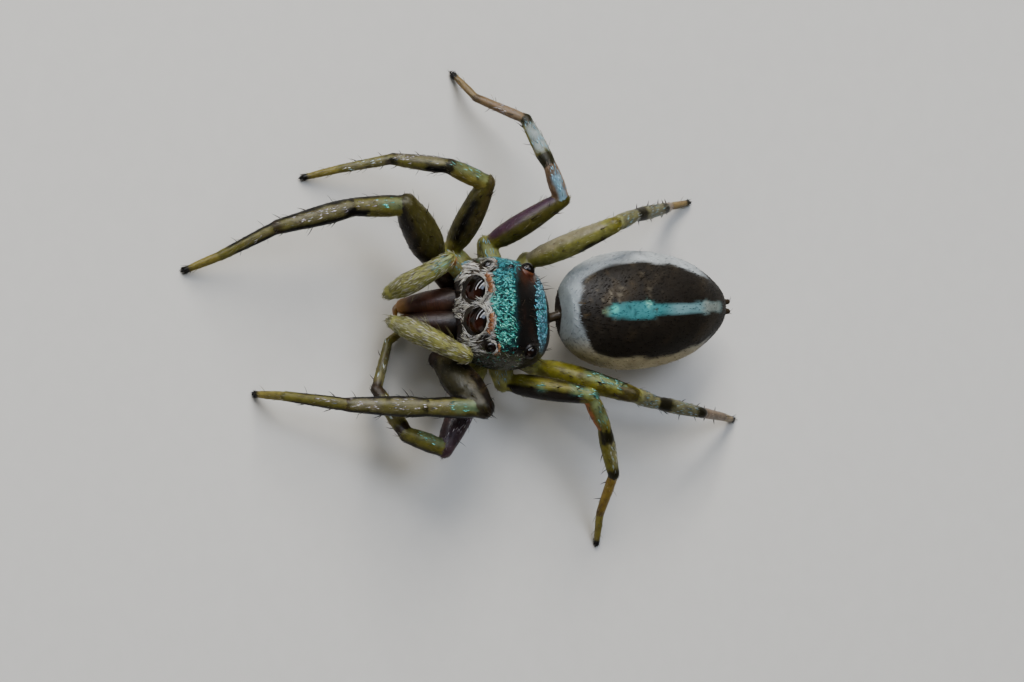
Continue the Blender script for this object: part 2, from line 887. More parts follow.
@dataclass(frozen=True)
class Prosoma:
    """Head shield, breast plate and mouth parts, in the head's frame."""

    # Sections of the shield: forward, half width, top, bottom.
    sections: tuple = (
        (0.10, 0.02, -0.14, -0.16),
        (0.10, 0.20, -0.08, -0.22),
        (0.11, 0.40, 0.01, -0.29),
        (0.32, 0.70, 0.20, -0.37),
        (0.62, 0.91, 0.45, -0.41),
        (0.95, 1.02, 0.65, -0.41),
        (1.30, 1.07, 0.75, -0.39),
        (1.70, 1.06, 0.78, -0.37),
        (2.05, 1.00, 0.75, -0.33),
        (2.26, 0.90, 0.68, -0.27),
        (2.39, 0.76, 0.57, -0.18),
        (2.46, 0.60, 0.45, -0.09),
        (2.485, 0.36, 0.34, 0.02),
        (2.49, 0.02, 0.19, 0.17),
    )
    widest: float = -0.05
    squareness: float = 2.5
    breast: tuple = ((1.25, 0.0, -0.46), (1.09, 0.51, 0.31))
    lip: tuple = ((2.02, 0.0, -0.55), (0.23, 0.15, 0.13))
    jaw_plate: tuple = ((2.12, 0.24, -0.48), (0.29, 0.15, 0.21))
    segments: int = 108
    rings: int = 88

    def shield(self) -> Form:
        """The shield over head and thorax."""
        rows = smooth_rows(self.sections, self.rings + 1)

        def place(share: float, turn: float) -> Vector:
            """A point of the shield at a share of its length and a turn round it."""
            forward, half_width, top, bottom = rows[round(share * self.rings)]
            across, rise = math.cos(turn), math.sin(turn)
            power = 2 / self.squareness
            middle = self.widest if half_width > 0.3 else 0.5 * (top + bottom)
            reach = (top if rise > 0 else bottom) - middle
            left = math.copysign(abs(across) ** power, across) * half_width
            return HEAD.point(forward, left, middle + abs(rise) ** power * reach)

        return warped_ball(self.segments, self.rings, place)

    def parts(self) -> list[Part]:
        """Every form of the prosoma but its legs."""
        found = [Part(Kind.SHIELD, "", self.shield)]
        for eye in EYES:
            found.append(Part(Kind.SHIELD, "", eye.cup))
        for (place, sizes), sides in ((self.breast, (1,)), (self.lip, (1,)), (self.jaw_plate, (-1, 1))):
            for side in sides:
                centre = HEAD.sided(place, side)
                found.append(Part(Kind.BREAST, "", lambda c=centre, s=sizes: ellipsoid(c, s, HEAD)))
        return found


@dataclass(frozen=True)
class Abdomen:
    """The egg-shaped abdomen with its spinnerets, in its own frame."""

    length: float = 3.62
    half_width: float = 1.15
    back: float = 0.93
    belly: float = 0.80
    first: float = 0.010
    taper: float = 0.8
    fullness: float = 0.4
    tail_taper: float = 0.09
    front_rings: int = 5
    segments: int = 104
    rings: int = 96
    spinneret_start: float = 0.93
    spinneret_radius: float = 0.09
    spinneret_length: float = 0.31
    spinneret_spread: float = 0.075

    def size(self, t: float) -> float:
        """Share of the full size at a share of the length."""
        tail = 1 - self.tail_taper * float(ease(t, 0.75, 0.97))
        return tail * math.sin(math.pi * t**self.taper) ** self.fullness if t < 1 else 0.0

    def point(self, t: float, left: float, up: float) -> Vector:
        """A point at a share of the length, with offsets in millimetres."""
        return ABDOMEN.point(-t * self.length, left, up)

    def shell(self) -> Form:
        """The abdomen's closed surface."""

        def place(share: float, turn: float) -> Vector:
            """A point of the abdomen at a share of its length and a turn round it."""
            ring = round(share * self.rings)
            ease_in = 0.5 - 0.5 * math.cos(math.pi * share)
            t = self.first + (1 - self.first) * ease_in
            size = self.size(t) * min(1.0, ring / self.front_rings)
            rise = math.sin(turn)
            height = (self.back if rise > 0 else self.belly) * rise * size
            return self.point(t, self.half_width * math.cos(turn) * size, height)

        return warped_ball(self.segments, self.rings, place)

    def locate(self, points: Array) -> tuple[Array, Array, Array]:
        """Shares of length and of half width, and angle in degrees above the widest line."""
        inside = ABDOMEN.inside(points)
        t = -inside[:, 0] / self.length
        angle = np.degrees(np.arctan2(inside[:, 2], np.abs(inside[:, 1]) / self.half_width * self.back))
        return t, inside[:, 1] / self.half_width, angle

    def parts(self) -> list[Part]:
        """The abdomen, its spinnerets and the waist in front of it."""
        found = [Part(Kind.ABDOMEN, "", self.shell)]
        for left in (-1, 1):
            for up in (-1, 1):
                spread = self.spinneret_spread
                start = self.point(self.spinneret_start, left * spread, up * spread)
                end = self.point(
                    self.spinneret_start + self.spinneret_length / self.length,
                    left * (spread + 0.02), up * (spread + 0.02),
                )
                radius = self.spinneret_radius
                limb = Limb(start, end, (radius, radius, 0.6 * radius), sides=16, steps=8)
                found.append(Part(Kind.SPINNERET, "", limb.build, limb))
        front, rear = HEAD.point(0.30, 0.0, -0.10), self.point(0.07, 0.0, -0.14)
        waist = Limb(front, rear, (0.13, 0.09, 0.12), sides=24, steps=16)
        found.append(Part(Kind.WAIST, "", waist.build, waist))
        return found


@dataclass(frozen=True)
class LegShape:
    """Lengths of a leg's free segments, and half thicknesses along each."""

    lengths: tuple[float, ...]
    radii: dict[Kind, tuple[float, ...]]


FRONT_RADII = {
    Kind.FEMUR: (0.18, 0.25, 0.33, 0.34, 0.31, 0.235),
    Kind.PATELLA: (0.195, 0.210, 0.200, 0.180),
    Kind.TIBIA: (0.180, 0.200, 0.190, 0.165, 0.145),
    Kind.METATARSUS: (0.130, 0.125, 0.110, 0.100),
    Kind.TARSUS: (0.092, 0.088, 0.078, 0.060),
}
SECOND_RADII = {
    Kind.FEMUR: (0.16, 0.225, 0.255, 0.250, 0.22, 0.180),
    Kind.PATELLA: (0.168, 0.180, 0.175, 0.155),
    Kind.TIBIA: (0.145, 0.157, 0.152, 0.135, 0.120),
    Kind.METATARSUS: (0.105, 0.100, 0.090, 0.085),
    Kind.TARSUS: (0.080, 0.076, 0.068, 0.055),
}
THIRD_RADII = {
    Kind.FEMUR: (0.15, 0.205, 0.228, 0.222, 0.195, 0.165),
    Kind.PATELLA: (0.152, 0.165, 0.158, 0.140),
    Kind.TIBIA: (0.132, 0.148, 0.146, 0.132, 0.116),
    Kind.METATARSUS: (0.102, 0.098, 0.090, 0.083),
    Kind.TARSUS: (0.076, 0.074, 0.066, 0.055),
}
FOURTH_RADII = THIRD_RADII | {
    Kind.PATELLA: (0.145, 0.155, 0.148, 0.130),
    Kind.TIBIA: (0.122, 0.137, 0.135, 0.122, 0.110),
}


@dataclass(frozen=True)
class Legs:
    """Eight legs: sizes by pair, and how each segment is aimed."""

    shapes: dict[int, LegShape] = field(default_factory=lambda: {
        1: LegShape((1.73, 1.03, 1.53, 1.22, 0.72), FRONT_RADII),
        2: LegShape((1.62, 0.82, 1.11, 1.02, 0.70), SECOND_RADII),
        3: LegShape((1.69, 0.70, 1.11, 1.08, 0.66), THIRD_RADII),
        4: LegShape((1.99, 0.64, 1.19, 1.12, 0.58), FOURTH_RADII),
    })
    # Turn and rise of coxa, femur, patella, tibia and metatarsus in degrees, then the tarsus's turn.
    pose: dict[str, tuple] = field(default_factory=lambda: {
        "R1": ((41, 2), (49, 25), (-2, -16), (-15, -12), (-32, -34), -26),
        "R2": ((55, -11), (103, 35), (23, -6), (9, -36), (-12, -27), -15),
        "R3": ((80, -2), (144, 28), (62, 14), (73, -27), (30, -39), 59),
        "R4": ((119, 0), (148, 48), (162, -24), (171, -31), (175, -57), 171),
        "L1": ((24, -19), (115, 47), (0, -28), (-2, -26), (-8, -14), -6),
        "L2": ((86, -18), (58, 15), (-20, -5), (-69, -34), (-113, -16), -150),
        "L3": ((112, -17), (169, 34), (123, -11), (114, -21), (97, -44), 100),
        "L4": ((149, -20), (161, 31), (165, -15), (170, -12), (174, -40), 172),
    })
    coxa_roots: dict[int, tuple] = field(default_factory=lambda: {
        1: (1.95, 0.42, -0.42), 2: (1.55, 0.55, -0.42), 3: (1.12, 0.58, -0.42), 4: (0.72, 0.50, -0.42),
    })
    coxa_lengths: dict[str, float] = field(default_factory=lambda: {
        "R1": 0.73, "R2": 0.90, "R3": 0.87, "R4": 0.75, "L1": 0.73, "L2": 0.69, "L3": 0.72, "L4": 0.75,
    })
    coxa_radii: tuple = (0.22, 0.245, 0.235, 0.20)
    # A joint that shows less far out than the solids put it.
    tucked: dict[tuple, tuple] = field(default_factory=lambda: {("L1", Kind.COXA): (0.17, 0.16, 0.08)})
    femur_bow: float = 0.06
    tip_height: float = 0.07

    def limbs(self, name: str) -> dict[Kind, Limb]:
        """The coxa and free segments of one leg, from the body outwards."""
        side, pair = SIDES[name[0]], int(name[1])
        lengths = (self.coxa_lengths[name], *self.shapes[pair].lengths)
        radii = {Kind.COXA: self.coxa_radii, **self.shapes[pair].radii}
        start = joint = HEAD.sided(self.coxa_roots[pair], side)
        found = {}
        for kind, length, angles in zip(SEGMENTS, lengths, self.pose[name]):
            if kind is Kind.TARSUS:
                angles = (angles, math.degrees(math.asin((self.tip_height - joint.z) / length)))
            turn, rise = (math.radians(a) for a in angles)
            level = math.cos(rise)
            heading = Vector((side * math.sin(turn) * level, -math.cos(turn) * level, math.sin(rise)))
            joint = joint + length * heading
            end = joint + Vector(self.tucked.get((name, kind), (0.0, 0.0, 0.0)))
            bow = self.femur_bow if kind is Kind.FEMUR else 0.0
            steps = max(10, round(length / 0.045))
            found[kind] = Limb(start, end, radii[kind], bow, 26 if pair == 1 else 22, steps)
            start = end
        return found

    def parts(self) -> list[Part]:
        """Every segment of every leg."""
        found = []
        for name in self.pose:
            for kind, limb in self.limbs(name).items():
                found.append(Part(kind, name, limb.build, limb))
        return found


@dataclass(frozen=True)
class Palps:
    """The two feelers beside the jaws: a femur, then a bowed outer length with a blunt end."""

    root: tuple = (2.20, 0.70, -0.20)
    # Knee and tip of each palp in the spider's own frame.
    joints: dict[str, tuple] = field(default_factory=lambda: {
        "L": ((0.96, -2.42, 1.98), (0.33, -3.47, 1.10)),
        "R": ((-0.87, -2.64, 1.73), (-0.26, -3.54, 1.05)),
    })
    femur_radii: tuple = (0.12, 0.13, 0.15, 0.15)
    tip_radii: tuple = (0.160, 0.178, 0.186, 0.194, 0.205, 0.213, 0.215, 0.208, 0.188, 0.145)
    bow: float = 0.10

    def parts(self) -> list[Part]:
        """Both palps in two lengths."""
        found = []
        for letter, side in SIDES.items():
            root = HEAD.sided(self.root, side)
            knee, tip = (Vector(joint) for joint in self.joints[letter])
            femur = Limb(root, knee, self.femur_radii, sides=24, steps=18)
            outer = Limb(knee, tip, self.tip_radii, self.bow, sides=26, steps=40)
            found.append(Part(Kind.PALP_FEMUR, letter, femur.build, femur))
            found.append(Part(Kind.PALP_TIP, letter, outer.build, outer))
        return found


EYES = [Eye(kind, letter) for kind in Eye.PLACES for letter in SIDES]
FRONT_EYES = [eye for eye in EYES if eye.kind in ("AME", "ALE")]
LARGE_EYES = [eye for eye in EYES if eye.kind == "AME"]
PROSOMA = Prosoma()
ABDOMEN_FORM = Abdomen()
LEGS = Legs()
PALPS = Palps()


@dataclass(frozen=True)
class Mark:
    """A stripe, ring or patch on one segment of some legs.

    Start and end are shares of the segment's length. Middle and reach are degrees round it from
    the top, positive to the right of its heading; a reach of 180 makes a ring.
    """

    legs: str
    start: float
    end: float
    middle: float
    reach: float
    tone: Tone
    share: float = 1.0

    def weight(self, t: Array, angle: Array) -> Array:
        """How strongly the mark shows at places on the segment."""
        weight = self.share * within(t, self.start, self.end, 0.035)
        if self.reach >= 180:
            return weight
        turn = np.abs((angle - self.middle + 180) % 360 - 180)
        return weight * ease(turn, self.reach + 12, self.reach - 12)


MARKS: dict[Kind, tuple[Mark, ...]] = {
    Kind.COXA: (
        Mark("R1 L1", -2.0, 2.0, 0, 180, Tone.UMBER, 0.9),
    ),
    Kind.FEMUR: (
        Mark("R1", 0.15, 1.2, 20, 60, Tone.MUD, 0.95),
        Mark("L1", 0.10, 1.1, 45, 48, Tone.MUD, 0.5),
        Mark("R2 R3", 0.15, 1.2, 0, 180, Tone.MUD, 0.85),
        Mark("R2", 0.30, 1.1, 40, 48, Tone.BARK, 0.6),
        Mark("R4", 0.0, 1.0, 0, 180, Tone.STRAW, 0.8),
        Mark("R2", 0.20, 0.84, -38, 22, Tone.PITCH),
        Mark("R3", 0.04, 0.96, -60, 30, Tone.PURPLE),
        Mark("R3", 0.18, 0.80, 62, 24, Tone.MUD, 0.9),
        Mark("R4", 0.00, 0.90, -60, 34, Tone.SHELL, 0.7),
        Mark("R4", 0.58, 0.94, 58, 26, Tone.SOOT, 0.9),
        Mark("L2", 0.25, 1.2, 0, 180, Tone.PURPLE, 0.9),
        Mark("L3", 0.08, 0.94, 50, 46, Tone.SOOT),
        Mark("L3", 0.25, 0.95, -68, 24, Tone.SOOT, 0.9),
        Mark("L4", 0.45, 0.96, -72, 28, Tone.SOOT, 0.9),
        Mark("L4", 0.86, 1.2, 20, 70, Tone.UMBER, 0.7),
    ),
    Kind.PATELLA: (
        Mark("R1 L1", -0.5, 0.04, 0, 180, Tone.UMBER, 0.8),
        Mark("R1 L1", -0.3, 1.2, 97, 47, Tone.PITCH),
        Mark("R1", 0.72, 1.2, -55, 44, Tone.PITCH),
        Mark("L1", -0.3, 1.2, -92, 45, Tone.PITCH),
        Mark("R2", -0.2, 0.95, -62, 44, Tone.OCHRE, 0.7),
        Mark("R2", 0.92, 1.2, 0, 180, Tone.PITCH, 0.9),
        Mark("L2", -0.2, 1.3, -82, 28, Tone.PITCH, 0.9),
        Mark("R3", -0.3, 1.2, 0, 180, Tone.ROSE, 0.8),
        Mark("R3", -0.1, 0.85, -14, 28, Tone.SKY, 0.65),
        Mark("L3", -0.2, 1.2, 88, 26, Tone.RUST, 0.7),
        Mark("R4 L4", -0.3, 0.25, 0, 180, Tone.STRAW, 0.6),
        Mark("R2", -0.2, 1.1, 94, 44, Tone.UMBER, 0.8),
    ),
    Kind.TIBIA: (
        Mark("R3", 0.30, 0.86, -10, 60, Tone.CHALK, 0.6),
        Mark("R1 L1", -0.1, 0.02, 0, 180, Tone.PITCH, 0.85),
        Mark("R1", -0.1, 1.1, -72, 44, Tone.PITCH),
        Mark("R1", -0.2, 0.14, -45, 50, Tone.PITCH),
        Mark("L1", -0.1, 1.1, -92, 46, Tone.PITCH),
        Mark("R1 L1", -0.1, 1.1, 98, 50, Tone.PITCH),
        Mark("R1 L1", 0.965, 1.3, 0, 180, Tone.UMBER, 0.8),
        Mark("R2", -0.1, 1.1, 94, 46, Tone.PITCH, 0.85),
        Mark("R2", -0.2, 0.38, -54, 46, Tone.PITCH),
        Mark("R2", 0.90, 1.3, -50, 60, Tone.PITCH, 0.9),
        Mark("L2", -0.2, 0.18, 0, 180, Tone.UMBER, 0.95),
        Mark("L2", 0.80, 1.3, 0, 180, Tone.UMBER, 0.95),
        Mark("R3 R4 L4", -0.3, 0.28, 0, 180, Tone.PITCH, 0.92),
        Mark("L3", 0.05, 0.32, -20, 95, Tone.PITCH, 0.95),
        Mark("R3 R4 L3 L4", 0.86, 1.3, 0, 180, Tone.PITCH, 0.92),
    ),
    Kind.METATARSUS: (
        Mark("R1", -0.1, 0.78, -68, 44, Tone.PITCH),
        Mark("L1", -0.1, 0.90, -94, 46, Tone.PITCH),
        Mark("R1 L1", -0.1, 0.85, 98, 48, Tone.PITCH),
        Mark("R2 L2", -0.2, 0.14, -60, 70, Tone.UMBER, 0.9),
        Mark("R3 R4 L4", -0.2, 1.2, 0, 180, Tone.ROSE, 0.7),
        Mark("L3", -0.2, 1.2, 0, 180, Tone.AMBER, 0.4),
        Mark("R3 R4 L3 L4", 0.90, 1.3, 0, 180, Tone.BARK, 0.7),
    ),
    Kind.TARSUS: (
        Mark("R3 R4 L4", -0.2, 1.2, 0, 180, Tone.ROSE, 0.5),
        Mark("R1 R2 R3 R4 L1 L2 L3 L4", 0.88, 1.4, 0, 180, Tone.PITCH),
    ),
}
SCALE_MARKS: dict[Kind, tuple[Mark, ...]] = {
    Kind.COXA: (
        Mark("R2 R3", 0.72, 1.05, -20, 50, Tone.SKY, 0.45),
        Mark("L3", 0.40, 0.90, 20, 50, Tone.CHALK, 0.6),
    ),
    Kind.FEMUR: (
        Mark("L2", 0.45, 1.0, 10, 45, Tone.LILAC, 0.35),
        Mark("L3", 0.40, 0.47, 0, 22, Tone.MINT),
        Mark("L3", 0.80, 1.2, -20, 38, Tone.MINT, 0.9),
        Mark("L4", 0.52, 0.88, -28, 30, Tone.MINT, 0.9),
    ),
    Kind.PATELLA: (
        Mark("R1", 0.02, 0.52, 12, 30, Tone.TURQUOISE, 0.55),
        Mark("L1", 0.06, 0.52, 5, 32, Tone.TURQUOISE, 0.9),
        Mark("R1", 0.50, 0.96, 8, 24, Tone.LILAC, 0.4),
        Mark("L1", 0.50, 1.00, 12, 34, Tone.LILAC, 0.45),
        Mark("R2", 0.0, 0.92, 28, 42, Tone.MINT, 0.5),
        Mark("L2", 0.10, 0.75, 32, 34, Tone.MINT, 0.8),
        Mark("R3", 0.02, 0.98, -6, 32, Tone.SKY),
        Mark("R4", 0.05, 1.1, 0, 75, Tone.CHALK, 0.8),
        Mark("L3", 0.0, 0.85, 5, 36, Tone.MINT, 0.8),
        Mark("L4", 0.20, 1.0, 0, 80, Tone.CHALK, 0.95),
    ),
    Kind.TIBIA: (
        Mark("R1", 0.05, 0.82, 16, 28, Tone.LILAC, 0.7),
        Mark("L1", 0.06, 0.45, 15, 38, Tone.LILAC, 0.6),
        Mark("L1", 0.58, 0.93, 12, 38, Tone.LILAC, 0.9),
        Mark("R2", 0.05, 0.95, 30, 38, Tone.LILAC, 0.8),
        Mark("L2", 0.25, 0.78, -20, 50, Tone.SILVER, 0.45),
        Mark("R3", 0.30, 0.85, -10, 55, Tone.SKY),
        Mark("R4", 0.30, 0.85, 0, 90, Tone.CHALK, 0.9),
        Mark("L3", 0.30, 0.84, -8, 34, Tone.SILVER, 0.8),
        Mark("L4", 0.30, 0.84, 0, 95, Tone.CHALK, 0.95),
    ),
    Kind.METATARSUS: (
        Mark("R1 L1", 0.05, 0.55, 18, 28, Tone.LILAC, 0.5),
        Mark("L2 R2", 0.05, 0.9, 0, 60, Tone.SILVER, 0.4),
        Mark("R3", 0.05, 0.55, 0, 60, Tone.LILAC, 0.5),
    ),
}
# Ground colours of the pairs' segments, from the coxa outwards.
GROUNDS = {
    "1": (Tone.UMBER, Tone.SOOT, Tone.DRAB, Tone.SAND, Tone.DRAB, Tone.OCHRE),
    "2": (Tone.STRAW, Tone.OLIVE, Tone.DRAB, Tone.DRAB, Tone.DRAB, Tone.OCHRE),
    "3": (Tone.STRAW, Tone.OLIVE, Tone.DRAB, Tone.OLIVE, Tone.OLIVE, Tone.OCHRE),
    "4": (Tone.STRAW, Tone.OLIVE, Tone.DRAB, Tone.SAND, Tone.DRAB, Tone.OCHRE),
}


class Markings:
    """Colours of skin and coat at any place, from the plan of the animal's pattern."""

    # How much of a bright scale mark's tone the skin under it takes.
    UNDER_SCALES = 0.12

    def shield(self, points: Array) -> Array:
        """Colour of the head shield."""
        f, _, u = HEAD.inside(points).T
        g, l, _ = self.lengthwise(points)
        waves = ripple(points, 0.35, 3)
        paint = Paint(len(points), Tone.SOOT)
        paint.lay(0.9 * within(g, 1.12, 1.66, 0.03), Tone.PITCH)
        sheen = within(g, 1.22, 1.48, 0.08) * ease(u, -0.1, 0.3)
        paint.lay(0.45 * sheen * ease(waves + 0.4 * ripple(points, 0.12, 4), -0.3, 1.2), Tone.CHESTNUT)
        paint.lay(0.85 * self.turquoise(points), Tone.DEEP_SEA)
        paint.lay(0.75 * self.crescent(points), Tone.DEEP_SEA)
        paint.lay(0.25 * self.crescent(points), Tone.SKY)
        paint.lay(0.55 * self.white_face(points), Tone.BARK)
        paint.lay(0.6 * self.flank(points), Tone.MUD)
        paint.lay(0.30 * ease(f, 2.30, 2.44) * ease(u, 0.15, -0.05), Tone.CHESTNUT)
        for eye in FRONT_EYES:
            paint.lay(0.5 * near(points, tuple(eye.rim[0]), eye.rim[1] + 0.06, 0.2), Tone.PITCH)
        paint.lay(0.8 * self.margin(points), Tone.SHELL)
        glow = near(np.stack([g, l], axis=1), (1.33, -0.67), 0.27, 0.9)
        paint.lay(0.5 * glow, Tone.GARNET)
        return paint.lay(0.30 * glow * ease(waves, -0.5, 0.8), Tone.RUST).colour

    def lengthwise(self, points: Array) -> tuple[Array, Array, Array]:
        """Place along the shield with the slope of its sides taken out, then left and up."""
        f, l, u = HEAD.inside(points).T
        return f - 0.91 * (np.clip(u, 0.25, 1.0) - 0.77), l, u

    def turquoise(self, points: Array) -> Array:
        """Share of the turquoise band behind the eyes."""
        g, l, u = self.lengthwise(points)
        wave = 0.025 * ripple(points, 0.25, 11)
        front = 2.25 - 0.15 * ease(np.abs(l), 0.30, 0.80) + wave
        back = 1.62 + 0.06 * ease(l, 0.40, 0.80) + wave
        band = ease(g, back - 0.03, back + 0.04) * ease(g, front + 0.03, front - 0.04)
        notch = near(np.stack([g, l], axis=1), (2.00, 0.34), 0.10, 0.6)
        return band * ease(l, 0.88, 0.78) * ease(u, -0.05, 0.12) * (1 - 0.85 * notch)

    def crescent(self, points: Array) -> Array:
        """Share of the pale blue crescent on the thorax."""
        f = HEAD.inside(points)[:, 0]
        g, l, _ = self.lengthwise(points)
        side = np.clip(np.abs(l) / 0.95, 0, 1)
        front = 1.115 - 0.06 * side**2 + 0.012 * ripple(points, 0.2, 12)
        back = 0.42 + 0.30 * side**2
        band = ease(g, front + 0.02, front - 0.02) * ease(f, back - 0.05, back + 0.06)
        return band * ease(np.abs(l), 0.99, 0.88)

    def white_face(self, points: Array) -> Array:
        """Share of the silver hair on the face: a wedge between the front eyes and patches round them."""
        head = HEAD.inside(points)
        f, l, u = head.T
        g = self.lengthwise(points)[0]
        half = 0.05 + 0.52 * np.clip(u + 0.27, 0, 0.50)
        wedge = ease(np.abs(l), half + 0.02, half - 0.03) * ease(u, -0.31, -0.26) * ease(f, 2.16, 2.24)
        half = 0.62 * np.clip(2.50 - g, 0, 0.3)
        fan = ease(np.abs(l), 0.06 + half, 0.02 + half) * within(g, 2.23, 2.62, 0.03) * ease(u, 0.30, 0.45)
        plan = np.stack([g, l], axis=1)
        right = near(head, (2.36, -0.70, 0.26), 0.30, 0.35) + near(plan, (2.30, -0.57), 0.14)
        right = right + near(plan, (2.16, -0.80), 0.11)
        left = 0.8 * near(head, (2.32, 0.78, 0.24), 0.30, 0.4) + 0.8 * near(plan, (2.27, 0.56), 0.14)
        return np.clip(wedge + fan + right + left, 0, 1)

    def flank(self, points: Array) -> Array:
        """Share of the mottled moss-green scales low on the sides of the head."""
        f, l, u = HEAD.inside(points).T
        side = within(f, 1.25, 2.30, 0.10) * ease(np.abs(l), 0.74, 0.86) * ease(u, -0.34, -0.18)
        return side * np.where(l > 0, 1.0, 0.45) * (1 - self.turquoise(points)) * ease(u, 0.58, 0.44)

    def margin(self, points: Array) -> Array:
        """Share of the pale line along the shield's lower edge behind."""
        f, _, u = HEAD.inside(points).T
        return within(u, -0.20, -0.08, 0.03) * ease(f, 1.55, 1.25) * ease(f, 0.15, 0.35)

    def abdomen(self, points: Array) -> Array:
        """Colour of the abdomen: white collar and sides, dark back, turquoise stripe to a pale tail."""
        t, across, angle = ABDOMEN_FORM.locate(points)
        wave = ripple(points, 0.5, 21)
        fine = ripple(points, 0.22, 22)
        paint = Paint(len(points), Tone.CHALK)
        paint.lay(0.6 * ease(across, 0.25, 0.85), Tone.SHELL)
        paint.lay(0.7 * ease(across, 0.35, 0.9), Tone.CREAM)
        paint.lay(0.2 * ease(-across, 0.3, 0.8) * ease(t, 0.05, 0.2), Tone.SILVER)
        front = 0.026 + np.where(across > 0, 0.22, 0.155) * across**2 + 0.004 * fine
        edge = 35 + 8 * ease(t, 0.55, 0.75) + 2.5 * wave
        dark = ease(t, front, front + 0.018) * ease(angle, edge - 3, edge + 3)
        tail = ease(t + 0.02 * wave, 0.76, 0.90)
        paint.lay(np.maximum(dark, tail), Tone.PITCH)
        paint.lay(0.14 * np.maximum(dark, tail), Tone.BARK)
        flecks = ease(fine + wave, 0.1, 1.2) * ease(t, 0.6, 0.2) * ease(across, 0.5, -0.4)
        paint.lay(0.5 * dark * flecks + 0.25 * dark * ease(ripple(points, 0.7, 25), 0.4, 1.4), Tone.BARK)
        paint.lay(0.4 * dark * flecks * ease(ripple(points, 0.10, 26), 0.3, 1.0), Tone.SHELL)
        paint.lay(ease(angle, -22, -32), Tone.UMBER)
        paint.lay(0.5 * ease(angle, -60, -75), Tone.BARK)
        self.stripe(paint, points)
        return paint.colour

    def stripe(self, paint: Paint, points: Array) -> None:
        """Lays the stripe along the middle of the abdomen's back."""
        t, across, angle = ABDOMEN_FORM.locate(points)
        wave = 0.010 * ripple(points, 0.3, 23)
        half = 0.135 - 0.055 * ease(t, 0.38, 0.50) + 0.05 * within(t, 0.775, 0.795, 0.03)
        half = half * np.sqrt(np.clip((t - 0.140) / 0.12, 0, 1))
        line = ease(np.abs(across + 0.005) + wave, half + 0.030, half - 0.030) * (angle > 0) * (t > 0.141)
        line = line * ease(t, 0.94, 0.88)
        paint.lay(line, Tone.STREAM)
        paint.lay(0.35 * line * ease(t, 0.46, 0.60), Tone.CHALK)
        paint.lay(0.6 * line * ease(t, 0.72, 0.80), Tone.SHELL)
        paint.lay(0.7 * line * ease(t, 0.19, 0.15), Tone.STRAW)
        flat = np.stack([t * ABDOMEN_FORM.length, across], axis=1)
        for spot, reach, tone in (
            ((1.03, -0.045), 0.055, Tone.DEEP_SEA), ((1.15, 0.035), 0.055, Tone.DEEP_SEA),
            ((1.43, -0.110), 0.080, Tone.MINT), ((0.74, -0.04), 0.090, Tone.TURQUOISE),
            ((1.58, 0.010), 0.060, Tone.BARK), ((0.22, 0.05), 0.05, Tone.BARK),
            ((0.16, -0.16), 0.05, Tone.BARK),
        ):
            paint.lay(0.8 * near(flat, spot, reach, 0.6), tone)

    def leg(self, part: Part, points: Array) -> Array:
        """Colour of one segment of a leg."""
        t, angle = part.limb.locate(points)
        grounds = GROUNDS[part.owner[1]]
        number = SEGMENTS.index(part.kind)
        paint = Paint(len(points), grounds[number])
        paint.lay(0.9 * ease(t, 0.16, -0.06), grounds[max(number - 1, 0)])
        length = (part.limb.end - part.limb.start).length
        flat = np.stack([t * length / 4, np.radians(angle) * 0.16, 0 * t + number], axis=1)
        waves, streaks = ripple(points, 0.18, 31), ripple(flat, 0.09, 32)
        strength = 0.35 if part.kind is Kind.TARSUS else 1.0
        paint.lay(0.5 * ease(streaks + 0.5 * waves, 0.1, 1.1) * strength, Tone.BARK)
        for table, share in ((MARKS, 1.0), (SCALE_MARKS, self.UNDER_SCALES)):
            for mark in table.get(part.kind, ()):
                if part.owner in mark.legs:
                    weight = mark.weight(t + 0.03 * streaks, angle + 4 * waves + 4 * streaks)
                    paint.lay(share * weight, mark.tone)
        return paint.colour

    def palp(self, part: Part, points: Array) -> Array:
        """Colour of a palp: straw with an ochre end, and a flash of turquoise past the knee."""
        t, angle = part.limb.locate(points)
        paint = Paint(len(points), Tone.STRAW)
        paint.lay(0.3 * ease(ripple(points, 0.12, 35), -0.4, 1.0), Tone.BARK)
        if part.kind is Kind.PALP_FEMUR:
            return paint.lay(0.5 * ease(t, 0.5, 0.2), Tone.BARK).colour
        paint.lay(0.8 * ease(t, 0.70, 0.90), Tone.STRAW)
        if part.owner == "R":
            paint.lay(0.12 * within(t, -0.05, 0.18, 0.05) * ease(np.abs(angle - 20), 50, 25), Tone.TURQUOISE)
            paint.lay(0.6 * ease(t, 0.06, -0.04) * ease(np.abs(angle + 60), 70, 30), Tone.RUST)
        return paint.colour

    def colour(self, part: Part, points: Array) -> Array:
        """Colour of any part of the skin at the given places."""
        if part.kind is Kind.SHIELD:
            return self.shield(points)
        if part.kind is Kind.ABDOMEN:
            return self.abdomen(points)
        if part.kind in (Kind.PALP_FEMUR, Kind.PALP_TIP):
            return self.palp(part, points)
        if part.kind is Kind.BREAST:
            return Paint(len(points), Tone.UMBER).colour
        if part.kind in (Kind.WAIST, Kind.SPINNERET):
            return Paint(len(points), Tone.SOOT).lay(0.4, Tone.BARK).colour
        return self.leg(part, points)


MARKINGS = Markings()


@dataclass
class Roots:
    """Places on the skin where scales or hairs grow."""

    place: Array
    normal: Array
    part: Array

    def only(self, keep: Array) -> "Roots":
        """The roots that a mask or list of numbers keeps."""
        return Roots(self.place[keep], self.normal[keep], self.part[keep])

    def __len__(self) -> int:
        """Number of roots."""
        return len(self.place)


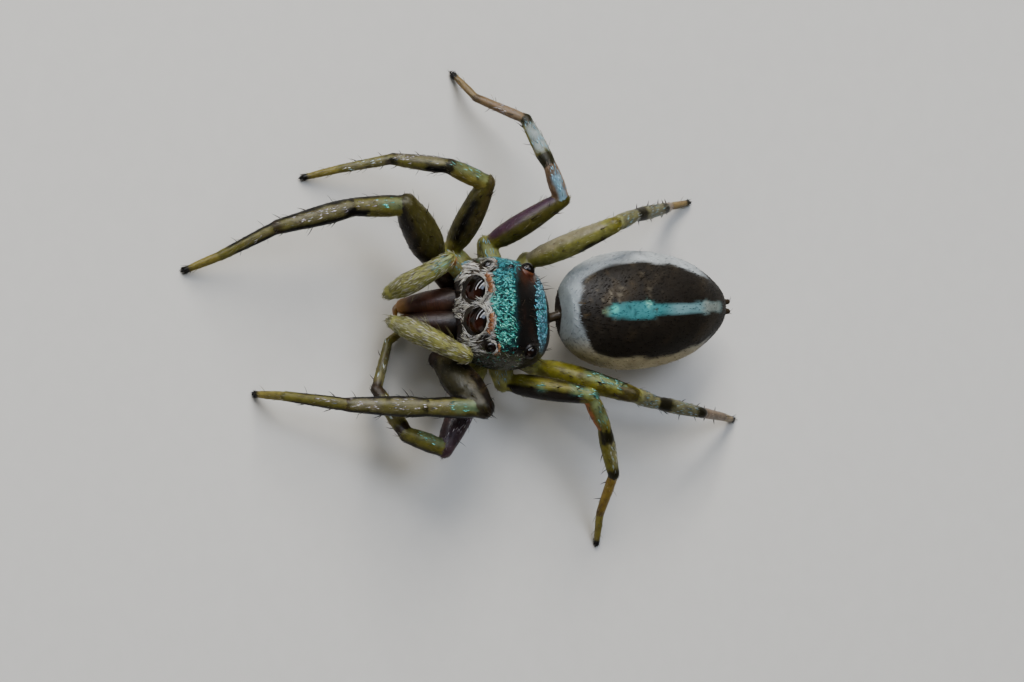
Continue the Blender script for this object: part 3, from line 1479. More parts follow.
@dataclass
class Skin:
    """One closed skin over body, legs and palps, joined from its forms."""

    crease_rounds: int = 3
    parts: list[Part] = field(default_factory=list)
    object: bpy.types.Object | None = None

    def build(self) -> bpy.types.Object:
        """Joins the forms, paints the skin and hides the solids that it stands for."""
        self.parts = PROSOMA.parts() + ABDOMEN_FORM.parts() + LEGS.parts() + PALPS.parts()
        bm = self.join()
        self.object = finish_mesh("skin", bm)
        self.measure()
        self.dress()
        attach(self.object, "root")
        flesh = ("prosoma", "pedicel", "abdomen", "leg", "palp")
        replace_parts(self.object, *[n for n in frame["nodes"] if n.split("_")[0] in flesh])
        self.object
        return self.object

    def join(self) -> Form:
        """One surface from all forms, each face numbered with its form, creases softened."""
        others = bpy.data.collections.new("skin_forms")
        base = None
        for number, part in enumerate(self.parts):
            bm = in_order(part.build())
            layer = bm.faces.layers.int.new("part")
            for face in bm.faces:
                face[layer] = number
            bmesh.ops.triangulate(bm, faces=bm.faces)
            mesh = bpy.data.meshes.new(f"form_{number}")
            bm.to_mesh(mesh)
            bm.free()
            form = bpy.data.objects.new(mesh.name, mesh)
            if base is None:
                base = form
                bpy.context.scene.collection.objects.link(form)
            else:
                others.objects.link(form)
        union = base.modifiers.new("Union", "BOOLEAN")
        union.operation = "UNION"
        union.operand_type = "COLLECTION"
        union.collection = others
        union.solver = "MANIFOLD"
        bpy.context.view_layer.update()
        evaluated = base.evaluated_get(bpy.context.evaluated_depsgraph_get())
        joined = bmesh.new()
        joined.from_mesh(evaluated.to_mesh())
        evaluated.to_mesh_clear()
        for form in (*others.objects, base):
            bpy.data.objects.remove(form)
        bpy.data.collections.remove(others)
        self.keep_largest(joined)
        self.soften(joined)
        bmesh.ops.triangulate(joined, faces=joined.faces)
        return joined

    def keep_largest(self, bm: Form) -> None:
        """Drops every closed surface but the one with most faces."""
        bm.faces.index_update()
        seen = [False] * len(bm.faces)
        groups = []
        for first in bm.faces:
            if seen[first.index]:
                continue
            seen[first.index] = True
            group = [first]
            for face in group:
                for edge in face.edges:
                    for other in edge.link_faces:
                        if not seen[other.index]:
                            seen[other.index] = True
                            group.append(other)
            groups.append(group)
        groups.sort(key=len)
        for group in groups[:-1]:
            bmesh.ops.delete(bm, geom=group, context="FACES")

    def soften(self, bm: Form) -> None:
        """Rounds the creases where two forms meet, as soft joint skin does."""
        layer = bm.faces.layers.int["part"]
        ring = {v for e in bm.edges if len({f[layer] for f in e.link_faces}) > 1 for v in e.verts}
        for _ in range(2):
            ring |= {e.other_vert(v) for v in list(ring) for e in v.link_edges}
        for _ in range(self.crease_rounds):
            bmesh.ops.smooth_vert(
                bm, verts=list(ring), factor=0.5, use_axis_x=True, use_axis_y=True, use_axis_z=True
            )

    def measure(self) -> None:
        """Keeps the skin's triangles, areas, normals and forms for sowing the coat."""
        mesh = self.object.data
        corners = np.empty(len(mesh.polygons) * 3, np.int32)
        mesh.polygons.foreach_get("vertices", corners)
        self.corners = corners.reshape(-1, 3)
        self.numbers = np.empty(len(mesh.polygons), np.int32)
        mesh.attributes["part"].data.foreach_get("value", self.numbers)
        self.points = vertex_places(mesh)
        normals = np.empty(len(mesh.vertices) * 3, np.float32)
        mesh.vertices.foreach_get("normal", normals)
        self.normals = normals.reshape(-1, 3).astype(float)
        a, b, c = (self.points[self.corners[:, i]] for i in range(3))
        self.areas = 0.5 * np.linalg.norm(np.cross(b - a, c - a), axis=1)

    def dress(self) -> None:
        """Paints each vertex and gives each face the finish of its form."""
        mesh = self.object.data
        owner = np.zeros(len(self.points), np.int32)
        owner[self.corners.ravel()] = np.repeat(self.numbers, 3)
        colour = np.zeros((len(self.points), 3))
        for number, part in enumerate(self.parts):
            mine = owner == number
            if mine.any():
                colour[mine] = MARKINGS.colour(part, self.points[mine])
        set_tone(mesh, colour)
        for finish in (SHIELD_CUTICLE, ABDOMEN_CUTICLE, LIMB_CUTICLE):
            mesh.materials.append(finish.material())
        slots = {Kind.SHIELD: 0, Kind.BREAST: 0, Kind.WAIST: 0, Kind.ABDOMEN: 1, Kind.SPINNERET: 1}
        table = np.array([slots.get(part.kind, 2) for part in self.parts], np.int32)
        mesh.polygons.foreach_set("material_index", table[self.numbers])

    def sow(self, kinds: set[Kind], density: float, rng: np.random.Generator) -> Roots:
        """Random places on some forms of the skin.

        Args:
            kinds: Forms to sow on.
            density: Roots for each square millimetre.
            rng: Seeded source of the draws.

        Returns:
            The roots found.
        """
        wanted = [i for i, part in enumerate(self.parts) if part.kind in kinds]
        faces = np.flatnonzero(np.isin(self.numbers, wanted))
        areas = self.areas[faces]
        count = int(density * areas.sum())
        chosen = faces[np.searchsorted(np.cumsum(areas), rng.random(count) * areas.sum())]
        shares = rng.dirichlet((1, 1, 1), count)
        corners = self.corners[chosen]
        place = np.einsum("nk,nkd->nd", shares, self.points[corners])
        normal = np.einsum("nk,nkd->nd", shares, self.normals[corners])
        return Roots(place, unit(normal), self.numbers[chosen])


class Unwrap:
    """The skin's own flat map: two discs for body halves and a grid of cells for the limbs."""

    PATCH = 0.003
    DISC = 0.24

    def disc(self, towards: Array, centre: tuple[float, float]) -> Array:
        """Equal-area map of directions seen from inside a body, its top at the disc's centre."""
        towards = unit(towards)
        reach = self.DISC * np.sqrt(np.clip((1 - towards[:, 2]) / 2, 0, 1))
        turn = np.arctan2(towards[:, 1], towards[:, 0])
        return np.stack([centre[0] + reach * np.cos(turn), centre[1] + reach * np.sin(turn)], axis=1)

    def cell(self, part: Part, points: Array) -> Array:
        """Map of one limb's segment: angle across its cell, length up it."""
        owners = [*LEGS.pose, *SIDES]
        column = owners.index(part.owner) if part.owner in owners else len(owners)
        row = part.kind.value % 7
        t, angle = part.limb.locate(points)
        across = 0.005 + 0.08 * (angle / 360 + 0.5)
        along = 0.005 + 0.05 * np.clip((t + 0.15) / 1.3, 0, 1)
        return np.stack([0.09 * column + across, 0.5 + 0.07 * row + along], axis=1)

    def place(self, part: Part, points: Array) -> Array:
        """Places of points of one form on the map."""
        if part.kind in (Kind.SHIELD, Kind.BREAST):
            return self.disc((HEAD.inside(points) - (1.3, 0, 0)) / (1.25, 1.05, 0.7), (0.75, 0.25))
        if part.kind is Kind.ABDOMEN:
            middle = (-0.5 * ABDOMEN_FORM.length, 0, 0)
            return self.disc((ABDOMEN.inside(points) - middle) / (1.8, 1.15, 0.9), (0.25, 0.25))
        return self.cell(part, points)


UNWRAP = Unwrap()


@dataclass(frozen=True)
class Tuft:
    """One kind of scale, hair or spine: a tapered blade that leaves the skin at its lift.

    Length, width, thickness and sink are in millimetres; lift, droop and spread in degrees. Droop
    is how far it bends back towards the skin by its tip, and spread how much its heading varies.
    Profile gives its width at the root and at each cut as shares of the full width.
    """

    length: float
    width: float
    thickness: float
    lift: float
    droop: float
    spread: float
    cuts: tuple[float, ...] = (0.45,)
    profile: tuple[float, ...] = (0.7, 1.0)
    sides: int = 3
    vary: float = 0.25
    sink: float = 0.008
    root_shade: float = 0.55
    shade_vary: float = 0.15

    def blade(self) -> tuple[Array, Array]:
        """Corners of the straight blade from 0 to 1 along x, a unit wide, and its triangles."""
        bm = bmesh.new()
        bmesh.ops.create_cone(
            bm, cap_ends=True, cap_tris=False, segments=self.sides, radius1=0.5, radius2=0.0, depth=1.0,
            matrix=Matrix.Translation((0.5, 0, 0)) @ Matrix.Rotation(math.pi / 2, 4, "Y"),
        )
        bmesh.ops.remove_doubles(bm, verts=bm.verts, dist=1e-5)
        for cut in self.cuts:
            geometry = bm.verts[:] + bm.edges[:] + bm.faces[:]
            bmesh.ops.bisect_plane(bm, geom=geometry, dist=1e-5, plane_co=(cut, 0, 0), plane_no=(1, 0, 0))
        bmesh.ops.triangulate(bm, faces=bm.faces)
        bmesh.ops.recalc_face_normals(bm, faces=bm.faces)
        bm.verts.index_update()
        points = np.array([v.co for v in bm.verts])
        faces = np.array([[v.index for v in face.verts] for face in bm.faces])
        bm.free()
        reach = np.hypot(points[:, 1], points[:, 2])
        wanted = 0.5 * np.interp(points[:, 0], (0.0, *self.cuts, 1.0), (*self.profile, 0.0))
        points[:, 1:] *= (wanted / np.maximum(reach, 1e-6))[:, None]
        return points, faces


@dataclass
class Coat:
    """A joined mesh of many tufts in one finish."""

    name: str
    finish: Finish
    rng: np.random.Generator
    points: list[Array] = field(default_factory=list)
    faces: list[Array] = field(default_factory=list)
    tones: list[Array] = field(default_factory=list)
    places: list[Array] = field(default_factory=list)
    count: int = 0

    def grow(
        self, tuft: Tuft, roots: Roots, part: Part, lie: Array, tone: Array, scale: float = 1.0
    ) -> None:
        """Adds one tuft at each root.

        Args:
            tuft: The kind of tuft.
            roots: Places and normals on the skin.
            part: The form of the skin that they stand on.
            lie: Direction in which the coat lies at each root.
            tone: Linear colour at each root.
            scale: Size of the tufts against their kind's.
        """
        n = len(roots)
        if n == 0:
            return
        blade, faces = tuft.blade()
        normal = roots.normal
        lie = unit(lie - np.sum(lie * normal, axis=1, keepdims=True) * normal)
        turn = np.radians(tuft.spread) * self.rng.normal(size=n)[:, None]
        heading = np.cos(turn) * lie + np.sin(turn) * np.cross(normal, lie)
        side = np.cross(normal, heading)
        size = scale * (1 + tuft.vary * self.rng.uniform(-1, 1, n))
        lift = np.radians(tuft.lift) * (1 + 0.35 * self.rng.normal(size=n))
        x, y, z = blade.T
        bend = lift[:, None] - 0.5 * np.radians(tuft.droop) * x[None, :]
        along = (size * tuft.length)[:, None] * x * np.cos(bend)
        out = (size * tuft.length)[:, None] * x * np.sin(bend) + tuft.thickness * z - tuft.sink
        points = (
            roots.place[:, None]
            + along[..., None] * heading[:, None]
            + (tuft.width * y)[None, :, None] * side[:, None]
            + out[..., None] * normal[:, None]
        )
        points[..., 2] = np.maximum(points[..., 2], 0.004)
        shade = 1 + tuft.shade_vary * self.rng.normal(size=n)[:, None]
        shade = shade * (tuft.root_shade + (1 - tuft.root_shade) * np.clip(1.6 * x, 0, 1))[None, :]
        self.points.append(points.reshape(-1, 3))
        first = self.count + len(blade) * np.arange(n)
        self.faces.append((faces[None] + first[:, None, None]).reshape(-1, 3))
        self.tones.append((tone[:, None] * np.clip(shade, 0.1, 1.6)[..., None]).reshape(-1, 3))
        patch = Unwrap.PATCH * np.stack([x - 0.5, y], axis=1)
        self.places.append((UNWRAP.place(part, roots.place)[:, None] + patch[None]).reshape(-1, 2))
        self.count += n * len(blade)

    def build(self) -> bpy.types.Object:
        """The finished piece, riding on the body."""
        points = settle(np.concatenate(self.points)).astype(np.float32)
        corners = np.concatenate(self.faces).astype(np.int32)
        mesh = bpy.data.meshes.new(self.name)
        mesh.vertices.add(len(points))
        mesh.vertices.foreach_set("co", points.ravel())
        mesh.loops.add(corners.size)
        mesh.loops.foreach_set("vertex_index", corners.ravel())
        mesh.polygons.add(len(corners))
        mesh.polygons.foreach_set("loop_start", np.arange(0, corners.size, 3, dtype=np.int32))
        mesh.update(calc_edges=True)
        bake = mesh.uv_layers.new(name="OFBake")
        flat = np.concatenate(self.places)[corners.ravel()]
        bake.data.foreach_set("uv", flat.astype(np.float32).ravel())
        set_tone(mesh, np.concatenate(self.tones))
        mesh.shade_smooth()
        mesh.materials.append(self.finish.material())
        made = new_object(self.name, mesh)
        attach(made, "root")
        log.info("%s: %d triangles", self.name, len(corners))
        return made


SCALE = Tuft(0.125, 0.030, 0.010, 12, 16, 22)
FINE_SCALE = Tuft(0.095, 0.031, 0.008, 11, 12, 30)
LEG_SCALE = Tuft(0.125, 0.024, 0.008, 7, 10, 9)
SILVER_HAIR = Tuft(0.165, 0.021, 0.018, 17, 34, 13, cuts=(0.3, 0.7), profile=(0.8, 1.0, 0.75))
FLANK_HAIR = Tuft(0.12, 0.018, 0.012, 14, 20, 35, profile=(0.8, 1.0))
RIM_HAIR = Tuft(0.10, 0.015, 0.012, 8, 10, 8, cuts=(0.5,), profile=(0.8, 1.0))
ORANGE_HAIR = Tuft(0.15, 0.015, 0.013, 30, 28, 14, cuts=(0.3, 0.7), profile=(0.8, 1.0, 0.75))
DOWN = Tuft(0.085, 0.028, 0.012, 8, 10, 10, profile=(0.8, 1.0), root_shade=0.75)
LEG_DOWN = Tuft(0.11, 0.013, 0.010, 9, 12, 12, profile=(1.0, 0.8))
PALP_HAIR = Tuft(0.15, 0.020, 0.014, 8, 14, 10, cuts=(0.3, 0.7), profile=(0.8, 1.0, 0.75))
FRINGE = Tuft(0.26, 0.014, 0.012, 42, 30, 16, cuts=(0.35, 0.7), profile=(1.0, 0.85, 0.6))
BRISTLE = Tuft(0.26, 0.016, 0.016, 48, 26, 20, cuts=(0.35, 0.7), profile=(1.0, 0.8, 0.5), sides=4)
SPINE = Tuft(0.36, 0.032, 0.032, 50, 22, 6, cuts=(0.3, 0.65), profile=(1.0, 0.8, 0.5), sides=5, vary=0.12)
CLAW = Tuft(
    0.10, 0.030, 0.030, 28, 95, 4, cuts=(0.3, 0.6, 0.8), profile=(1.0, 0.85, 0.6, 0.35), sides=6, vary=0.05
)
TIP_HAIR = Tuft(0.085, 0.014, 0.012, 26, 20, 22, profile=(1.0, 0.9))


# Shares of length and angles from the top of the few long spines on each segment.
SPINE_ROWS = {
    Kind.FEMUR: ((0.35, 5), (0.62, -8), (0.86, 30), (0.86, -30)),
    Kind.TIBIA: ((0.22, 115), (0.22, -115), (0.55, 112), (0.55, -112), (0.88, 118), (0.88, -118)),
    Kind.METATARSUS: ((0.20, 118), (0.20, -118), (0.66, 115), (0.66, -115)),
}
SPINE_SCALES = {Kind.FEMUR: 0.85, Kind.TIBIA: 0.6, Kind.METATARSUS: 0.55}
# Angle from the top at which each palp's hairs are thickest.
PALP_MIDDLES = {
    (Kind.PALP_TIP, "R"): 14,
    (Kind.PALP_TIP, "L"): -13,
    (Kind.PALP_FEMUR, "R"): -30,
    (Kind.PALP_FEMUR, "L"): 72,
}


@dataclass(frozen=True)
class Rim:
    """Pale hairs round one kind of front eye, and the orange tuft behind it.

    Reaches are how far out from the lens hairs stand, and spread the tuft's half turn in radians.
    """

    count: int
    reach: float
    tuft_count: int
    tuft_reach: float
    tuft_spread: float
    tuft_scale: float


RIMS = {
    "AME": Rim(230, 0.032, 110, 0.075, 0.52, 0.65),
    "ALE": Rim(80, 0.022, 32, 0.045, 0.8, 0.40),
}


@dataclass
class Furrier:
    """Sows and grows every coat piece over the skin."""

    skin: Skin
    seed: int = 7
    band_density: float = 1250.0
    crescent_density: float = 1150.0
    flank_density: float = 650.0
    face_density: float = 1000.0
    ring_density: float = 2600.0
    dark_density: float = 60.0
    down_density: float = 620.0
    leg_density: float = 260.0
    leg_scale_density: float = 460.0
    palp_density: float = 560.0
    bristle_density: float = 7.0
    tip_hairs: int = 70

    def __post_init__(self) -> None:
        """Starts the seeded draws."""
        self.rng = np.random.default_rng(self.seed)

    def draw(self, rows: Array | Roots) -> Array:
        """One random number from 0 to 1 for each row."""
        return self.rng.random(len(rows))

    def coat(self, name: str, finish: Finish) -> Coat:
        """A new empty coat piece."""
        return Coat(name, finish, np.random.default_rng(self.seed + len(name) * 101 + ord(name[-1])))

    def dapple(self, ground: Tone, *layers: tuple[float, float, Tone]) -> Callable[[Array | Roots], Array]:
        """Colours that vary at random from tuft to tuft.

        Args:
            ground: The tone under the others.
            layers: Each a share, a chance and a tone. The tone is mixed in by the share where the
                chance falls, or by a random part of the share everywhere if the chance is 1.

        Returns:
            A function from places or roots to colours.
        """

        def tone(rows: Array | Roots) -> Array:
            """One colour for each row."""
            paint = Paint(len(rows), ground)
            for share, chance, other in layers:
                draw = self.draw(rows)
                paint.lay(share * (draw if chance == 1 else draw < chance), other)
            return paint.colour

        return tone

    def sow(self, kinds: set[Kind], density: float) -> Roots:
        """Random places on some forms of the skin."""
        return self.skin.sow(kinds, density, self.rng)

    def groups(self, roots: Roots) -> list[tuple[Part, Roots]]:
        """Roots sorted by the form that they stand on."""
        return [(self.skin.parts[i], roots.only(roots.part == i)) for i in np.unique(roots.part)]

    def thin(self, roots: Roots, weight: Array) -> Roots:
        """Keeps each root with the chance that its weight gives."""
        return roots.only(self.draw(roots) < weight)

    def clear_of_eyes(self, roots: Roots, room: float = 0.012) -> Roots:
        """Drops the roots that stand on or in front of a lens."""
        keep = np.ones(len(roots), bool)
        for eye in EYES:
            height, aside, _ = eye.around(roots.place)
            keep &= (aside > eye.rim[1] + room) | (height < -0.6 * eye.radius)
        return roots.only(keep)

    def face_lie(self, head: Array) -> Array:
        """Direction of the hairs on the face, in the head's frame."""
        f, l, _ = head.T
        towards_tip = np.array((2.55, 0.0, -0.35)) - head
        cheek = np.stack([0.35 + 0 * f, -0.45 * np.sign(l), -0.8 + 0 * f], axis=1)
        share = ease(np.abs(l), 0.34, 0.50)[:, None]
        return (1 - share) * unit(towards_tip) + share * cheek

    def shield_lie(self, points: Array) -> Array:
        """Direction of the coat on the head shield: forwards in front, backwards behind."""
        head = HEAD.inside(points)
        front = ease(head[:, 0], 1.25, 1.55)
        top = np.stack([2 * front - 1, -0.25 * np.sign(head[:, 1]) * front, 0 * front], axis=1)
        face = ease(head[:, 0], 2.12, 2.26)[:, None]
        lie = HEAD.outside((1 - face) * top + face * self.face_lie(head))
        for eye in FRONT_EYES:
            lie = self.round_eye(points, lie, eye)
        return lie

    def round_eye(self, points: Array, lie: Array, eye: Eye) -> Array:
        """Turns the hairs close to one eye so that they lie round it and not over it."""
        _, distance, radial = eye.around(points)
        lie = unit(lie)
        inwards = np.minimum(np.sum(lie * radial, axis=1, keepdims=True), 0.0)
        around = lie - 1.15 * inwards * radial
        share = ease(distance[:, None], eye.rim[1] + 0.28, eye.rim[1] + 0.10)
        return (1 - share) * lie + share * around

    def on_shield(
        self, coat: Coat, tuft: Tuft, density: float, weight: Callable, tone: Callable,
        lie: Callable | None = None,
    ) -> None:
        """Grows tufts on the head shield.

        Args:
            coat: The piece that they join.
            tuft: The kind of tuft.
            density: Roots for each square millimetre.
            weight: Takes places and gives the share of roots to keep at each.
            tone: Takes places and gives their colours.
            lie: Takes places and gives directions, the shield's own where it is left out.
        """
        roots = self.clear_of_eyes(self.sow({Kind.SHIELD}, density))
        roots = self.thin(roots, weight(roots.place))
        colour = tone(roots.place)
        coat.grow(tuft, roots, self.skin.parts[0], (lie or self.shield_lie)(roots.place), colour)

    def head_scales(self) -> None:
        """Turquoise band, pale blue crescent, green flanks and blue cheek patches."""
        coat = self.coat("coat_head_scales", IRIDESCENT_SCALE)

        def band_tone(points: Array) -> Array:
            """Turquoise, bluer on the right, with mint flecks and dark gaps."""
            l = HEAD.inside(points)[:, 1]
            paint = Paint(len(points), Tone.TURQUOISE)
            paint.lay(0.6 * ease(l, -0.2, -0.8) + 0.25 * self.draw(points), Tone.LAGOON)
            paint.lay(0.6 * ease(l, 0.0, 0.5) * self.draw(points), Tone.JADE)
            paint.lay(0.8 * (self.draw(points) < 0.20), Tone.MINT)
            return paint.lay(0.85 * (self.draw(points) < 0.34), Tone.DEEP_SEA).colour

        def crescent_tone(points: Array) -> Array:
            """Sky blue, turquoise in the middle and grey at the ends."""
            l = HEAD.inside(points)[:, 1]
            paint = Paint(len(points), Tone.SKY)
            paint.lay(self.draw(points) * ease(np.abs(l), 0.8, 0.3), Tone.LAGOON)
            paint.lay(0.7 * (self.draw(points) < 0.3) * ease(np.abs(l), 0.7, 0.3), Tone.TURQUOISE)
            paint.lay(0.8 * ease(np.abs(l), 0.50, 0.80), Tone.SHELL)
            return paint.lay(0.85 * (self.draw(points) < 0.34), Tone.DEEP_SEA).colour

        def patches(points: Array) -> Array:
            """Share of the blue patches low on the head's right side."""
            head = HEAD.inside(points)
            front = near(head, (2.42, -0.74, 0.02), 0.16) + near(head, (2.20, -0.94, 0.02), 0.14)
            return front + 0.9 * near(head, (1.65, -1.03, 0.2), 0.18)

        def forwards(points: Array) -> Array:
            """Directions ahead and a little up."""
            return HEAD.outside(np.tile((1.0, 0.0, 0.5), (len(points), 1)))

        flank_tone = self.dapple(Tone.MOSS, (0.5, 1, Tone.OLIVE), (0.8, 0.12, Tone.TURQUOISE))
        patch_tone = self.dapple(Tone.SKY, (0.5, 1, Tone.LAGOON))
        margin_tone = self.dapple(Tone.SHELL, (0.4, 1, Tone.SKY))
        self.on_shield(coat, SCALE, self.band_density, MARKINGS.turquoise, band_tone)
        self.on_shield(coat, SCALE, self.crescent_density, MARKINGS.crescent, crescent_tone, lie=forwards)
        self.on_shield(coat, FINE_SCALE, self.flank_density, MARKINGS.flank, flank_tone)
        self.on_shield(coat, SCALE, self.band_density, patches, patch_tone)
        self.on_shield(coat, FINE_SCALE, self.crescent_density, MARKINGS.margin, margin_tone)
        coat.build()

    def head_hairs(self) -> None:
        """Silver hairs of the face, orange tufts and pale rims of the front eyes, sparse brown hairs."""
        coat = self.coat("coat_head_hairs", PALE_HAIR)
        silver = self.dapple(Tone.SILVER, (0.2, 1, Tone.SHELL), (0.9, 0.25, Tone.UMBER))
        mossy = self.dapple(
            Tone.SHELL, (0.8, 1, Tone.MOSS), (0.7, 0.2, Tone.SILVER), (0.75, 0.3, Tone.UMBER)
        )
        self.on_shield(coat, SILVER_HAIR, self.face_density, MARKINGS.white_face, silver)
        self.on_shield(coat, FLANK_HAIR, self.flank_density, MARKINGS.flank, mossy)
        self.on_shield(coat, RIM_HAIR, self.ring_density, self.ring, silver, lie=self.ring_lie)
        for eye in FRONT_EYES:
            self.rim(coat, eye)
        coat.build()
        dark = self.coat("coat_head_dark_hairs", DARK_HAIR)

        def bare(points: Array) -> Array:
            """1 where no bright scales or hairs stand."""
            taken = MARKINGS.turquoise(points) + MARKINGS.crescent(points) + MARKINGS.white_face(points)
            return 1 - np.clip(taken, 0, 1)

        brown = self.dapple(Tone.UMBER, (0.5, 1, Tone.BARK))
        self.on_shield(dark, LEG_DOWN, 4 * self.dark_density, bare, brown)
        self.on_shield(dark, BRISTLE, self.bristle_density, lambda p: np.ones(len(p)), brown)
        roots = self.sow({Kind.BREAST, Kind.COXA, Kind.WAIST, Kind.SPINNERET}, 2 * self.dark_density)
        for part, mine in self.groups(roots):
            heading = np.tile(np.array(HEAD.matrix @ Vector((-0.3, 0, -0.2))), (len(mine), 1))
            if part.limb:
                heading = part.limb.along(len(mine))
            dark.grow(LEG_DOWN, mine, part, heading, MARKINGS.colour(part, mine.place) * 0.9 + 0.02)
        dark.build()

    def ring(self, points: Array) -> Array:
        """Share of the white ring of hairs that encloses each large front eye."""
        share = np.zeros(len(points))
        for eye in LARGE_EYES:
            height, distance, _ = eye.around(points)
            share += within(distance - eye.rim[1], 0.010, 0.052, 0.008) * ease(np.abs(height), 0.26, 0.20)
        return np.clip(share, 0, 1)

    def ring_lie(self, points: Array) -> Array:
        """Direction of the ring's hairs: round the nearest large front eye, either way."""
        (_, first, one), (_, second, other) = (eye.around(points) for eye in LARGE_EYES)
        looks = [np.array(eye.look) for eye in LARGE_EYES]
        around = np.where((first < second)[:, None], np.cross(looks[0], one), np.cross(looks[1], other))
        return around * np.sign(self.draw(points) - 0.5)[:, None]

    def rim(self, coat: Coat, eye: Eye) -> None:
        """Pale hairs that lie round one front eye, and its orange tuft behind."""
        rim, skin_part = RIMS[eye.kind], self.skin.parts[0]
        (middle, reach), look = eye.rim, np.array(eye.look)
        back = np.array(HEAD.matrix @ Vector((-1.0, 0.0, 0.35)))
        back -= (back @ look) * look
        back /= np.linalg.norm(back)

        def stand(
            turn: Array, out: Array, rise: Array | float, lean: tuple[float, float]
        ) -> tuple[Array, Roots]:
            """Directions away from the eye at a turn from behind it, and roots there."""
            radial = np.cos(turn)[:, None] * back + np.sin(turn)[:, None] * np.cross(look, back)
            place = np.array(middle) + out[:, None] * radial + rise * look
            return radial, Roots(place, unit(lean[0] * look + lean[1] * radial), np.zeros(len(turn), int))

        turn = self.rng.uniform(-math.pi, math.pi, rim.count)
        out = reach + self.rng.uniform(0.006, rim.reach, rim.count)
        front = ease(-np.cos(turn), 0.0, 0.7)
        radial, roots = stand(turn, out + 0.014 * front, (0.010 + 0.014 * front)[:, None], (0.8, 0.6))
        tone = self.dapple(Tone.SILVER, (0.5, 1, Tone.SHELL))(roots)
        around = np.cross(look, radial) * np.sign(self.draw(roots) - 0.5)[:, None]
        coat.grow(RIM_HAIR, roots, skin_part, around, tone)
        turn = self.rng.uniform(-rim.tuft_spread, rim.tuft_spread, rim.tuft_count) - 0.15 * eye.side
        out = reach + self.rng.uniform(0.02, rim.tuft_reach, rim.tuft_count)
        radial, roots = stand(turn, out, -0.008, (0.75, 0.65))
        tone = self.dapple(Tone.RUST, (0.6, 1, Tone.APRICOT), (0.7, 0.2, Tone.UMBER))(roots)
        coat.grow(ORANGE_HAIR, roots, skin_part, radial, tone, rim.tuft_scale)

    def abdomen(self) -> None:
        """The abdomen's nap in its dark, white and turquoise fields."""
        skin_part = next(part for part in self.skin.parts if part.kind is Kind.ABDOMEN)
        roots = self.sow({Kind.ABDOMEN}, self.down_density)
        colour = MARKINGS.abdomen(roots.place)
        colour *= (1 + 0.18 * ripple(roots.place, 0.12, 41))[:, None]
        backwards = np.tile(np.array((-1.0, 0.0, -0.1)), (len(roots), 1))
        inside = ABDOMEN.inside(roots.place)
        backwards[:, 1] = 0.35 * inside[:, 1] / ABDOMEN_FORM.half_width
        lie = ABDOMEN.outside(backwards)
        front = inside[:, 0] > -0.5 * ABDOMEN_FORM.length
        for name, mine in (("coat_abdomen_front", front), ("coat_abdomen_tail", ~front)):
            coat = self.coat(name, VELVET_HAIR)
            coat.grow(DOWN, roots.only(mine), skin_part, lie[mine], colour[mine])
            long = mine & (self.draw(mine) < 0.004)
            coat.grow(FRINGE, roots.only(long), skin_part, lie[long], 0.8 * colour[long], 0.4)
            coat.build()

    def legs(self) -> None:
        """Hairs, bright scales, spines and claws of the legs."""
        free = set(SEGMENTS[1:])
        hairs = self.coat("coat_leg_hairs", PALE_HAIR)
        scales = self.coat("coat_leg_scales", IRIDESCENT_SCALE)
        spines = self.coat("leg_spines", DARK_HAIR)
        for part, mine in self.groups(self.sow(free, self.leg_density)):
            along = part.limb.along(len(mine))
            colour = MARKINGS.leg(part, mine.place)
            light = np.clip(colour.mean(axis=1, keepdims=True) / 0.15, 0, 1)
            draw = self.draw(mine)[:, None]
            colour = colour * np.where(draw < 0.35, 0.35, 1.15)
            colour = colour + 0.22 * light * (draw > 0.78) * Tone.SILVER.linear
            hairs.grow(LEG_DOWN, mine, part, along, colour)
            stiff = self.draw(mine) < 0.035
            hairs.grow(FRINGE, mine.only(stiff), part, along[stiff], 0.6 * colour[stiff], 0.65)
        for part, mine in self.groups(self.sow(set(SEGMENTS), self.leg_scale_density)):
            t, angle = part.limb.locate(mine.place)
            for mark in SCALE_MARKS.get(part.kind, ()):
                if part.owner not in mark.legs:
                    continue
                chosen = self.thin(mine, mark.weight(t, angle))
                glitter = Tone.SILVER if mark.tone is Tone.LILAC else Tone.LAGOON
                tone = self.dapple(mark.tone, (0.5, 1, glitter), (0.8, 0.12, Tone.DEEP_SEA))(chosen)
                scales.grow(LEG_SCALE, chosen, part, part.limb.along(len(chosen)), tone)
        for part in self.skin.parts:
            if part.kind in SPINE_ROWS:
                self.long_spines(spines, part)
            if part.kind is Kind.TARSUS:
                self.foot(spines, part)
        hairs.build()
        scales.build()
        spines.build()

    def place_on(self, part: Part, spots: list[tuple[float, float, float]]) -> Roots:
        """Roots on a limb, each from a share of its length, an angle in degrees and a radius."""
        limb = part.limb
        across, rise = across_and_rise((limb.end - limb.start).normalized())
        places, normals = [], []
        for t, angle, radius in spots:
            normal = math.cos(math.radians(angle)) * rise + math.sin(math.radians(angle)) * across
            centre = limb.start + t * (limb.end - limb.start) + 4 * limb.bow * t * (1 - t) * rise
            places.append(centre + radius * normal)
            normals.append(normal)
        return Roots(np.array(places), np.array(normals), np.zeros(len(spots), int))

    def long_spines(self, coat: Coat, part: Part) -> None:
        """The few long spines of one segment."""
        rows = smooth_rows([(radius,) for radius in part.limb.radii], 21)
        spots = []
        for t, angle in SPINE_ROWS[part.kind]:
            t = t + self.rng.uniform(-0.03, 0.03)
            spots.append((t, angle + self.rng.uniform(-8, 8), rows[round(20 * t)][0] - 0.01))
        tone = Paint(len(spots), Tone.UMBER).colour
        scale = SPINE_SCALES[part.kind] * (1.0 if part.owner[1] == "1" else 0.8)
        coat.grow(SPINE, self.place_on(part, spots), part, part.limb.along(len(spots)), tone, scale)

